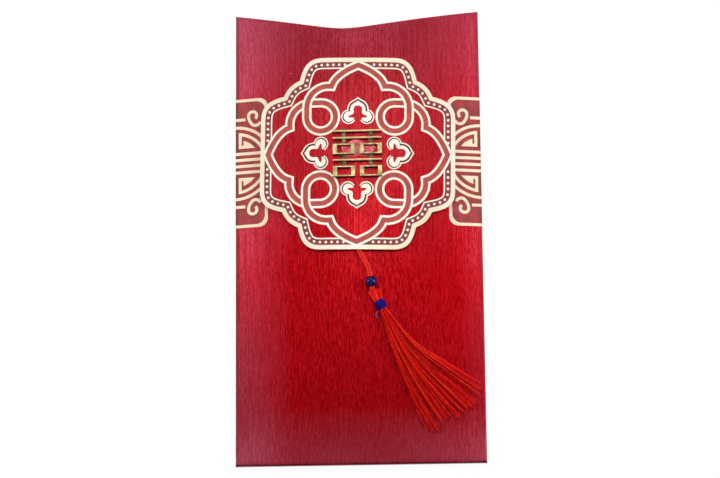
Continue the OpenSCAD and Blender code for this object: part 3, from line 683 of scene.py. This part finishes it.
def makeFrontPanel():
    p = panelShape
    bottom = -p["halfLength"] + p["card"]
    rowPlaces = [(0.0, step * mm) for step in p["endSteps"]]
    rowPlaces += [(i / p["rows"], 0.0) for i in range(1, p["rows"])]
    rowPlaces += [(1.0, -step * mm) for step in reversed(p["endSteps"])]
    flatHalf = p["halfWidth"] - p["foldRadius"]
    spots = [("edge", -1, 0)] + [("fold", -1, k) for k in range(p["foldSteps"])]
    spots += [("flat", 0, k) for k in range(p["columns"] + 1)]
    spots += [("fold", 1, p["foldSteps"] - 1 - k) for k in range(p["foldSteps"])] + [("edge", 1, 0)]

    def pointAt(kind, side, k, share, shift, depth):
        if kind == "flat":
            x = flatHalf * (2 * k / p["columns"] - 1)
            y = bottom + share * (topEdgeAt(x) - bottom) + shift
            return Vector((x, y, frontLevel(x, y) - depth))
        y = bottom + share * (topEdgeAt(side * p["halfWidth"]) - bottom) + shift
        if kind == "edge":
            return Vector((side * (p["halfWidth"] - depth), y, p["backLevel"]))
        angle = math.pi / 2 * k / p["foldSteps"]
        radius = p["foldRadius"] - depth
        middle = frontLevel(flatHalf, y) - p["foldRadius"]
        return Vector((side * (flatHalf + radius * math.cos(angle)), y, middle + radius * math.sin(angle)))

    vertices = []
    for share, shift in rowPlaces:
        fromEnd = abs(shift) if share in (0.0, 1.0) else p["endRound"]
        short = max(0.0, p["endRound"] - fromEnd)
        drop = p["endRound"] - math.sqrt(max(0.0, p["endRound"] ** 2 - short ** 2))
        for spot in spots:
            vertices.append(pointAt(*spot, share, shift, drop))
    for share, shift in rowPlaces:
        for spot in spots:
            vertices.append(pointAt(*spot, share, shift, p["card"]))
    across, along = len(spots), len(rowPlaces)
    inner = across * along
    faces, kinds = [], []
    for r in range(along - 1):
        for c in range(across - 1):
            a = r * across + c
            faces.append((a, a + 1, a + across + 1, a + across))
            kinds.append(0)
            b = inner + a
            faces.append((b, b + across, b + across + 1, b + 1))
            kinds.append(1)
    for r in range(along - 1):
        for c, turned in ((0, False), (across - 1, True)):
            a, b = r * across + c, inner + r * across + c
            face = (a, a + across, b + across, b)
            faces.append(face[::-1] if turned else face)
            kinds.append(0)
    for c in range(across - 1):
        for r, turned in ((0, True), (along - 1, False)):
            a, b = r * across + c, inner + r * across + c
            face = (a, a + 1, b + 1, b)
            faces.append(face[::-1] if turned else face)
            kinds.append(0)
    addPiece("frontPanelCard", vertices, faces, "envelope", ("front", "paper"), kinds,
             replaces=("front_panel",))


makeFrontPanel()
print("stage: front panel made")


# Tubes swept along routes, many in one mesh. Plied ones have lobes that turn along the route.
plyRelief = 0.14


def smoothRoute(points, steps):
    ends = [points[0] * 2 - points[1]] + list(points) + [points[-1] * 2 - points[-2]]
    route = []
    for i in range(1, len(ends) - 2):
        a, b, c, d = ends[i - 1:i + 3]
        for k in range(steps):
            t = k / steps
            route.append(0.5 * (2 * b + (c - a) * t + (2 * a - 5 * b + 4 * c - d) * t * t
                                + (3 * b - a - 3 * c + d) * t ** 3))
    route.append(points[-1].copy())
    return route


def sweep(routes, sides):
    vertices, faces, tones = [], [], []
    for route, radiusAt, tone, ply in routes:
        first = len(vertices)
        last = len(route) - 1
        side = None
        for i, point in enumerate(route):
            along = (route[min(i + 1, last)] - route[max(i - 1, 0)]).normalized()
            if side is None:
                side = along.orthogonal().normalized()
            side = (side - along * side.dot(along)).normalized()
            other = along.cross(side)
            radius = radiusAt(i / last)
            for k in range(sides):
                angle = 2 * math.pi * k / sides
                lobe = 1 + plyRelief * math.cos(ply[0] * angle + ply[1] * i) if ply else 1
                vertices.append(point + (side * math.cos(angle) + other * math.sin(angle)) * radius * lobe)
                tones.append(tone)
        for i in range(last):
            for k in range(sides):
                a = first + i * sides + k
                b = first + i * sides + (k + 1) % sides
                faces.append((a, b, b + sides, a + sides))
        faces.append(tuple(first + k for k in reversed(range(sides))))
        faces.append(tuple(first + last * sides + k for k in range(sides)))
    return vertices, faces, tones


def addThreads(name, routes, sides, body, finishName, replaces=()):
    vertices, faces, tones = sweep(routes, sides)
    piece = addPiece(name, vertices, faces, body, (finishName,), smoothAngle=75, replaces=replaces)
    piece.data.attributes.new("strandTone", "FLOAT", "POINT").data.foreach_set("value", tones)
    return piece


# The tassel lies in the plane in which the cord swings
swing = joints["cord_swing"]
lift = joints["tassel_lift"]
planeUp = Vector(swing["axis"]).normalized()
planeAcross = Vector((1, 0, 0))
planeAlong = planeUp.cross(planeAcross)
swingTurn = Matrix((planeAcross, planeAlong, planeUp)).transposed().to_4x4()
swingPlane = Matrix.Translation(swing["pos_m"]) @ swingTurn
loopPlace = swingPlane.inverted() @ Vector(lift["pos_m"])


def heading(degrees):
    return Vector((math.sin(math.radians(degrees)), -math.cos(math.radians(degrees)), 0))


def inPlane(points):
    return [swingPlane @ point for point in points]


# Doubled cord, from its glued end behind the plate to the tassel's loop, in millimetres
cordShape = {
    "diameter": 0.9,
    "strandGap": 0.06,
    "turn": 8,
    "anchorLevel": 0.235,
    "anchor": [(-1.6, 16), (-1.5, 12), (-1.2, 9), (-0.8, 6), (-0.5, 3), (-0.15, 0.65)],
    "free": [(0.25, -0.65, 0.45), (0.8, -2.3, 0.75), (1.4, -4, 1.35), (1.98, -5.6, 1.95), (2.3, -7.2, 2.2),
             (2.4, -8.6, 2.2), (2.4, -10, 2.2), (2.4, -12, 2.2), (2.4, -14.05, 2.2)],
    "intoHead": 0.9,
    "bendZone": 0.7,
    "steps": 6,
    "sides": 12,
    "plies": 3,
    "twist": 0.55,
    "tone": 0.5,
}


def makeCord(name, side, replaces):
    c = cordShape
    offset = side * (c["diameter"] + c["strandGap"]) / 2 * mm
    exitPlace = Vector(swing["pos_m"])
    points = [exitPlace + Vector((x * mm + offset, y * mm, c["anchorLevel"] * mm)) for x, y in c["anchor"]]
    turned = Matrix.Rotation(math.radians(c["turn"]), 4, "Z")
    free = [turned @ Vector((x * mm + offset, y * mm, z * mm)) for x, y, z in c["free"]]
    free.append(free[-1] + heading(c["turn"]) * c["intoHead"] * mm)
    points += inPlane(free)
    route = smoothRoute(points, c["steps"])
    length = sum((b - a).length for a, b in zip(route, route[1:]))
    radius = c["diameter"] / 2 * mm / (1 + plyRelief / 2)
    strand = (route, lambda share: radius, c["tone"], (c["plies"], c["twist"] * side))
    piece = addThreads(name, [strand], c["sides"], None, "cordSilk")
    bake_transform(piece)
    if replaces:
        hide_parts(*replaces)
    return piece, route, length


leftStrand = makeCord("leftCordStrand", -1, ("hanging_cord", "cord_anchor"))
rightStrand = makeCord("rightCordStrand", 1, ())

# Round bead, turned with a softened hole
beadShape = {
    "boreRadius": 1.01 * mm,
    "lip": 0.12 * mm,
    "lipMiddle": (0.3, 0.1),
    "rings": 28,
    "sides": 48,
}


def makeBead():
    low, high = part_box("round_bead")
    centre = (low + high) / 2
    axis = Vector(joints["bead_slide"]["axis"]).normalized()
    across = axis.orthogonal().normalized()
    other = axis.cross(across)
    radius = (high.x - low.x) / 2
    bore = beadShape["boreRadius"]
    startAngle = math.asin((bore + beadShape["lip"]) / radius)
    profile = []
    for i in range(beadShape["rings"] + 1):
        angle = startAngle + (math.pi - 2 * startAngle) * i / beadShape["rings"]
        profile.append((radius * math.sin(angle), -radius * math.cos(angle)))
    outEnd = profile[-1][1]
    lip = beadShape["lip"]
    out, down = (lip * share for share in beadShape["lipMiddle"])
    profile += [(bore + out, outEnd - down), (bore, outEnd - lip)]
    profile += [(bore, lip - outEnd), (bore + out, down - outEnd)]
    sides = beadShape["sides"]
    vertices, faces = [], []
    for r, h in profile:
        for k in range(sides):
            angle = 2 * math.pi * k / sides
            vertices.append(centre + axis * h + (across * math.cos(angle) + other * math.sin(angle)) * r)
    count = len(profile)
    for i in range(count):
        for k in range(sides):
            a, b = i * sides + k, i * sides + (k + 1) % sides
            c, d = (i + 1) % count * sides + (k + 1) % sides, (i + 1) % count * sides + k
            faces.append((a, d, c, b))
    return addPiece("glazedBead", vertices, faces, "bead", ("bead",), replaces=("round_bead",))


bead = makeBead()
print("stage: cord and bead made")

# Tassel: head of looped silk, wound collar, thread tail and skirt, in millimetres
tasselShape = {
    "turn": 28,
    "headFrom": 0.3,
    "headLength": 4.4,
    "headBend": [(0.7, 0.34), (1.033, -1.942)],
    "collarLength": 3.8,
    "neck": 2.6,
}

# The head's strands loop over its crown and run down both faces into the neck
headShape = {
    "seed": 11,
    "strands": 96,
    "halfSteps": 9,
    "sides": 6,
    "strandRadius": 0.15,
    "width": 4.6,
    "deep": 2.7,
    "innerLayer": 0.3,
    "sideFlatness": 0.92,
    "narrowing": 1.7,
    "neckShare": 0.9,
    "crownRise": 4,
    "intoCollar": 1.0,
    "fall": 0.8,
    "innerDrop": 0.7,
    "sideDrop": 0.5,
    "tones": (0.1, 0.6),
    "brightEvery": 5,
    "brighter": 0.4,
    # The core is a bundle inside the head; its dark tone is painted shade between the strands
    "coreAt": (0.1, 0.25, 0.5, 0.7, 0.9, 1.2),
    "coreRadii": (0.7, 1.2, 1.3, 1.3, 1.2, 1.05),
    "coreShadeTone": 0.15,
}

# Thread wound round the neck, a last few slanting turns over it, and its two loose ends, whose route gives
# each place beside the collar's foot and how far the bend pushes it aside
collarShape = {
    "thread": 0.34,
    "sides": 8,
    "ply": (2, 0.8),
    "turns": 10,
    "turnSteps": 28,
    "bulge": 0.22,
    "tone": 0.45,
    "slantTurns": 3,
    "slantStart": 0.9,
    "slantLayer": 2.6,
    "slantSpan": (0.2, 0.8),
    "slantTone": 0.75,
    "tailBends": (0.0, 0.45),
    "tailRoute": [(0, 0.5, 0.4, 0), (-0.8, 0.3, 0.2, 0), (-1.5, -0.5, -0.3, -1), (-1.3, -1.6, -0.9, -1.4)],
    "tailSteps": 5,
    "tailThin": 0.9,
    "tailTone": 0.5,
}

# The skirt's strands leave the neck in one direction and bend to another. Both directions in degrees, and
# the knee and its softness in shares of the length, are given for the left side and as the change across.
skirtShape = {
    "seed": 5,
    "length": 48.4,
    "strandRadius": 0.12,
    "sides": 4,
    "points": 30,
    "tipThinner": 0.35,
    "upperTurn": (16, 21),
    "lowerTurn": (26, 32),
    "knee": (0.5, -0.14),
    "softness": (0.36, -0.22),
    "intoCollar": 0.4,
    "neckSpread": 0.8,
    "lengthFrom": 0.972,
    "phases": 6.28,
    "wander": 0.35,
    "wanderWaves": 2.2 * math.pi,
    "sway": 0.25,
    "swayWaves": 3.4,
    "opening": (0.28, 0.72, 0.7),
    "neckDeep": (1.0, 0.6),
    "hemDeep": 0.35,
    "hemRise": 0.1,
    "overCard": 0.16,
    # Every fourth strand takes a light tone and the rest dark ones: partly the silk's own tone, partly
    # painted highlight on single strands
    "brightEvery": 4,
    "brightTones": (0.55, 1),
    "darkTones": (0, 0.5),
    # Painted light across the fan: strands are lighter near brightestAt and darker towards its sides
    "middlePaintedLight": 0.18,
    "brightestAt": 0.62,
    "sidePaintedShade": 0.5,
}

# Skirt locks: place in the fan, width, strands, share of the length, height at the hem
skirtLocks = [
    (0.00, 1.5, 8, 0.990, 0.9),
    (0.05, 1.3, 7, 1.000, 0.6),
    (0.13, 1.6, 12, 1.010, 0.4),
    (0.21, 1.5, 13, 0.965, 1.1),
    (0.29, 1.2, 6, 0.960, 0.7),
    (0.36, 1.3, 7, 0.970, 0.4),
    (0.44, 1.6, 13, 0.995, 1.0),
    (0.53, 1.4, 6, 0.985, 0.6),
    (0.61, 1.4, 6, 1.000, 0.9),
    (0.69, 1.6, 7, 1.015, 0.5),
    (0.77, 1.8, 8, 1.005, 0.8),
    (0.85, 1.7, 7, 0.985, 0.6),
    (0.93, 1.4, 6, 0.955, 0.9),
    (1.00, 0.9, 7, 0.925, 0.6),
]


def onTassel(points):
    turned = Matrix.Translation(loopPlace) @ Matrix.Rotation(math.radians(tasselShape["turn"]), 4, "Z")
    return inPlane([turned @ point for point in points])


# The head leaves the cord straight down and bends over to the collar
def onHead(point):
    t = tasselShape
    reach = t["headFrom"] + t["headLength"]
    along = -point.y / mm
    if along >= reach:
        return point
    share = max(along, 0) / reach
    foot = Vector((0, -reach, 0))
    unturn = Matrix.Rotation(-math.radians(t["turn"]), 3, "Z")
    top, middle = (unturn @ Vector((x, y, 0)) for x, y in t["headBend"])
    axis = top * (1 - share) ** 2 + middle * 2 * share * (1 - share) + foot * share ** 2
    run = ((middle - top) * (1 - share) + (foot - middle) * share).normalized()
    return (axis + Vector((-run.y, run.x, 0)) * point.x / mm) * mm + Vector((0, 0, point.z))


def makeHead():
    t, h = tasselShape, headShape
    chance = random.Random(h["seed"])
    routes = []
    width, length = h["width"] / 2 * mm, t["headLength"] * mm
    top, neck = t["headFrom"] * mm, t["neck"] / 2 * mm * h["neckShare"]
    for i in range(h["strands"]):
        aside = chance.uniform(-1, 1)
        layer = chance.uniform(h["innerLayer"], 1)
        deep = math.sqrt(1 - h["sideFlatness"] * aside ** 2) * layer
        points = []
        for k in range(-h["halfSteps"], h["halfSteps"] + 1):
            u = k / h["halfSteps"]
            share = abs(u)
            narrow = share ** h["narrowing"]
            out = aside * (width * (1 - narrow) + neck * narrow)
            crown = math.sqrt(min(1, share * h["crownRise"]))
            rise = crown * h["deep"] / 2 * mm * (1 - narrow) + neck * narrow
            y = -(top + (length + h["intoCollar"] * mm) * (1 - math.cos(math.pi / 2 * share ** h["fall"])))
            y -= ((1 - layer) * h["innerDrop"] + h["sideDrop"] * aside ** 2) * mm * (1 - narrow)
            points.append(onHead(Vector((out, y, math.copysign(rise * deep, u) if k else 0))))
        tone = chance.uniform(*h["tones"]) + (h["brighter"] if i % h["brightEvery"] == 0 else 0)
        routes.append((onTassel(points), lambda share: h["strandRadius"] * mm, tone, None))
    core = [onHead(Vector((0, -(top + length * share), 0))) for share in h["coreAt"]]
    radii = h["coreRadii"]

    def coreRadius(share):
        return radii[round(share * (len(radii) - 1))] * mm

    routes.append((onTassel(core), coreRadius, h["coreShadeTone"], None))
    return addThreads("loopedHead", routes, h["sides"], "tassel", "skirtSilk", ("tassel_head",))


def woundRoute(turns, firstAngle, layer, yFrom, yTo):
    t, c = tasselShape, collarShape
    points = []
    steps = turns * c["turnSteps"]
    for i in range(steps + 1):
        share = i / steps
        angle = 2 * math.pi * turns * share + firstAngle
        radius = (t["neck"] + layer * c["thread"]) / 2 * mm + c["bulge"] * mm * math.sin(math.pi * share)
        y = -(yFrom + (yTo - yFrom) * share)
        points.append(Vector((radius * math.cos(angle), y, radius * math.sin(angle))))
    return onTassel(points)


def makeCollar():
    t, c = tasselShape, collarShape
    start = (t["headFrom"] + t["headLength"]) * mm
    length = t["collarLength"] * mm
    thread = c["thread"] / 2 * mm
    turns = woundRoute(c["turns"], 0, 1, start + thread, start + length - thread)
    slant = [start + length * share for share in c["slantSpan"]]
    slanting = woundRoute(c["slantTurns"], c["slantStart"], c["slantLayer"], *slant)
    routes = [(turns, lambda share: thread, c["tone"], c["ply"]),
              (slanting, lambda share: thread, c["slantTone"], c["ply"])]
    winding = addThreads("woundCollar", routes, c["sides"], "tassel", "windingSilk", ("collar_winding",))
    side = -(t["neck"] / 2 * mm + thread)
    foot = -(start + length)
    tails = []
    for bend in c["tailBends"]:
        ends = [Vector((side + (x + bend * bent) * mm, foot + y * mm, z * mm))
                for x, y, z, bent in c["tailRoute"]]
        route = onTassel(smoothRoute(ends, c["tailSteps"]))
        tails.append((route, lambda share: thread * c["tailThin"], c["tailTone"] + bend, c["ply"]))
    return winding, addThreads("looseThreadTail", tails, c["sides"], "tassel", "tailSilk", ("thread_tail",))


def skirtPoint(fan, aside, level, length, share):
    t, s = tasselShape, skirtShape
    here = {key: s[key][0] + s[key][1] * fan for key in ("upperTurn", "lowerTurn", "knee", "softness")}
    upper, lower = heading(here["upperTurn"]), heading(here["lowerTurn"])
    knee, soft = here["knee"], here["softness"]
    downNeck = heading(t["turn"])
    neckEnd = downNeck * (t["headFrom"] + t["headLength"] + t["collarLength"] - s["intoCollar"])
    across = downNeck.cross(Vector((0, 0, 1)))
    start = neckEnd + across * (0.5 - fan) * t["neck"] * s["neckSpread"]
    middle = start + upper * length * knee
    bend = min(1, max(0, (share - knee + soft) / (2 * soft)))
    if bend == 0:
        point = start + upper * length * share
    elif bend == 1:
        point = middle + lower * length * (share - knee)
    else:
        point = middle - upper * length * soft * (1 - bend) ** 2 + lower * length * soft * bend ** 2
    run = (upper * (1 - bend) + lower * bend).normalized()
    return point + Vector((-run.y, run.x, 0)) * aside + Vector((0, 0, level))


def skirtRadius(share):
    return skirtShape["strandRadius"] * mm * (1 - skirtShape["tipThinner"] * share)


def makeSkirt():
    s = skirtShape
    chance = random.Random(s["seed"])
    card = -loopPlace.z / mm
    leastOpen, opens, opening = s["opening"]
    neckDeep, thinning = s["neckDeep"]
    routes = []
    for fan, width, strands, lengthShare, hemLevel in skirtLocks:
        swayPhase = chance.uniform(0, s["phases"])
        for i in range(strands):
            side = chance.uniform(-1, 1)
            layer = chance.uniform(-1, 1)
            length = s["length"] * lengthShare * chance.uniform(s["lengthFrom"], 1.0)
            wander = chance.uniform(-s["wander"], s["wander"])
            phase = chance.uniform(0, s["phases"])
            points = []
            for k in range(s["points"]):
                share = k / (s["points"] - 1)
                aside = side * width / 2 * (leastOpen + opens * share ** opening)
                aside += wander * math.sin(s["wanderWaves"] * share + phase) * share
                aside += s["sway"] * math.sin(s["swayWaves"] * share + swayPhase) * share
                fromNeck = layer * neckDeep * (1 - share) ** thinning
                low = card + hemLevel + s["hemDeep"] * layer * share
                level = fromNeck + (low + s["hemRise"]) * share * (2 - share)
                level = max(level, card + s["overCard"])
                points.append((loopPlace / mm + skirtPoint(fan, aside, level, length, share)) * mm)
            tone = chance.uniform(*s["brightTones" if i % s["brightEvery"] == 0 else "darkTones"])
            # Painted light and shade by place in the fan
            tone += s["middlePaintedLight"] - s["sidePaintedShade"] * abs(fan - s["brightestAt"])
            routes.append((inPlane(points), skirtRadius, min(1, max(0, tone)), None))
    return addThreads("silkSkirt", routes, s["sides"], "tassel", "skirtSilk", ("tassel_skirt",))


makeHead()
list(makeCollar())
makeSkirt()
print("stage: tassel made")

# Charm: long bars, lower posts and small frames, in shares of its width
charmShape = {
    "turn": 0.3,
    "overlap": 0.2 * mm,
    "bevelSteps": 3,
    "bevel": 0.13 * mm,
    "barRound": 0.32 * mm,
    "bar": 0.8 * mm,
    "post": 1.4 * mm,
    "wall": 1.6 * mm,
    "thinWall": 0.6 * mm,
    "postDrop": 0.45 * mm,
    "frame": (0.454, 0.225),
    "barRows": (0.469, 0.323, -0.142),
    "frameRows": (0.089, -0.379),
    "postTop": 0.534,
}


def boxBlock(low, high, bevel):
    block = bmesh.new()
    bmesh.ops.create_cube(block, size=1)
    bmesh.ops.scale(block, vec=Vector(high) - Vector(low), verts=block.verts)
    bmesh.ops.translate(block, vec=(Vector(low) + Vector(high)) / 2, verts=block.verts)
    bmesh.ops.bevel(block, geom=block.edges[:], offset=bevel, segments=charmShape["bevelSteps"],
                    affect="EDGES", profile=0.5)
    return block


def frameBlock(outer, inner, low, high, bevel):
    block = bmesh.new()
    rings = []
    levels = [(outer, bevel, low), (outer, 0, low + bevel), (outer, 0, high - bevel), (outer, bevel, high),
              (inner, -bevel, high), (inner, 0, high - bevel), (inner, 0, low)]
    for (wide, tall), inset, z in levels:
        x, y = wide / 2 - inset, tall / 2 - inset
        rings.append([block.verts.new(corner) for corner in ((-x, -y, z), (x, -y, z), (x, y, z), (-x, y, z))])
    for i in range(len(rings)):
        a, b = rings[i], rings[(i + 1) % len(rings)]
        for k in range(4):
            block.faces.new((a[k], a[(k + 1) % 4], b[(k + 1) % 4], b[k]))
    return block


def makeCharm():
    c = charmShape
    low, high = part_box("fretwork_charm")
    turn = math.radians(c["turn"])
    width = (high.x - low.x - math.sin(turn) * (high.y - low.y)) / math.cos(turn)
    middle = Vector(((low.x + high.x) / 2, high.y - c["postTop"] * width, 0))
    frameWide, frameTall = width * c["frame"][0], width * c["frame"][1]
    blocks = []
    for row in c["barRows"]:
        y, half = row * width, c["bar"] / 2
        bar = boxBlock((-width / 2, y - half, low.z), (width / 2, y + half, high.z), c["barRound"])
        blocks.append((bar, 0))
    postTop = high.z - c["postDrop"]
    upper, lower = (row * width for row in c["frameRows"])
    inFrame = frameTall / 2 - c["overlap"]
    for side in (-1, 1):
        x = side * (width - frameWide) / 2
        for start, end in ((lower + inFrame, upper - inFrame), (upper + inFrame, c["postTop"] * width)):
            post = boxBlock((x - c["post"] / 2, start, low.z), (x + c["post"] / 2, end, postTop), c["bevel"])
            blocks.append((post, 2))
        for row in (upper, lower):
            inner = (frameWide - 2 * c["wall"], frameTall - 2 * c["thinWall"])
            block = frameBlock((frameWide, frameTall), inner, low.z, high.z, c["bevel"])
            bmesh.ops.translate(block, vec=(x, row, 0), verts=block.verts)
            blocks.append((block, 1))
    spin = Matrix.Rotation(turn, 3, "Z")
    vertices, faces, kinds = [], [], []
    for block, kind in blocks:
        bmesh.ops.recalc_face_normals(block, faces=block.faces[:])
        block.verts.index_update()
        first = len(vertices)
        vertices += [middle + spin @ vert.co for vert in block.verts]
        faces += [tuple(first + v.index for v in face.verts) for face in block.faces]
        kinds += [kind] * len(block.faces)
        block.free()
    addPiece("castCharm", vertices, faces, "envelope", ("charmBar", "charmFrame", "charmPostShaded"), kinds,
             smoothAngle=30, replaces=("fretwork_charm",))


makeCharm()
print("stage: charm made")

# Studio: pale floor that goes to white for the camera, low enough to show the open flap, which hangs 2.2 mm
# below the back, and soft lamps: lean across and back in degrees, distance, width, power
studio = {
    "floorSize": 3.0,
    "floor": paint(244, 244, 244),
    "floorLift": 0.93,
    "floorLevel": -2.4 * mm,
    "world": 0.03,
    "lamps": [
        ("backBox", (0, 50), 1.3, 0.6, 5.2),
        ("footBox", (0, -54), 1.3, 0.6, 2.6),
        ("leftBox", (-54, 6), 1.2, 0.85, 10.0),
        ("rightBox", (54, 6), 1.2, 0.85, 12.6),
        ("overheadBox", (0, 14), 0.62, 0.12, 0.4),
    ],
}


def makeStudio():
    size = studio["floorSize"] / 2
    level = studio["floorLevel"]
    mesh = bpy.data.meshes.new("studioFloor")
    mesh.from_pydata([(-size, -size, level), (size, -size, level), (size, size, level), (-size, size, level)],
                     [], [(0, 1, 2, 3)])
    floor = bpy.data.objects.new("studioFloor", mesh)
    bpy.context.scene.collection.objects.link(floor)
    material = bpy.data.materials.new("paleFloor")
    material.use_nodes = True
    tree = material.node_tree
    tree.nodes.clear()
    output = tree.nodes.new("ShaderNodeOutputMaterial")
    cover = put(tree, "ShaderNodeBsdfDiffuse", Color=studio["floor"])
    glow = put(tree, "ShaderNodeEmission", Color=(1, 1, 1, 1), Strength=1.0)
    rays = put(tree, "ShaderNodeLightPath")
    seen = math2(tree, "MAXIMUM", rays.outputs["Is Camera Ray"], rays.outputs["Is Glossy Ray"])
    seen = math2(tree, "MAXIMUM", seen, rays.outputs["Is Transmission Ray"])
    share = math2(tree, "MULTIPLY", seen, studio["floorLift"])
    mixed = put(tree, "ShaderNodeMixShader", i0=share, i1=cover.outputs[0], i2=glow.outputs[0])
    tree.links.new(mixed.outputs[0], output.inputs["Surface"])
    mesh.materials.append(material)
    for name, (leanAcross, leanBack), reach, width, power in studio["lamps"]:
        lean = Vector((math.tan(math.radians(leanAcross)), math.tan(math.radians(leanBack)), 1))
        spot = lean.normalized() * reach
        data = bpy.data.lights.new(name, "AREA")
        data.shape = "SQUARE"
        data.size = width
        data.energy = power
        lamp = bpy.data.objects.new(name, data)
        lamp.location = spot
        lamp.rotation_euler = (-spot).to_track_quat("-Z", "Y").to_euler()
        bpy.context.scene.collection.objects.link(lamp)
    world = bpy.data.worlds.new("studioAir")
    bpy.context.scene.world = world
    world.use_nodes = True
    background = world.node_tree.nodes["Background"]
    background.inputs["Color"].default_value = (1, 1, 1, 1)
    background.inputs["Strength"].default_value = studio["world"]


makeStudio()
bpy.context.scene.view_settings.view_transform = "Standard"
print("stage: studio made")
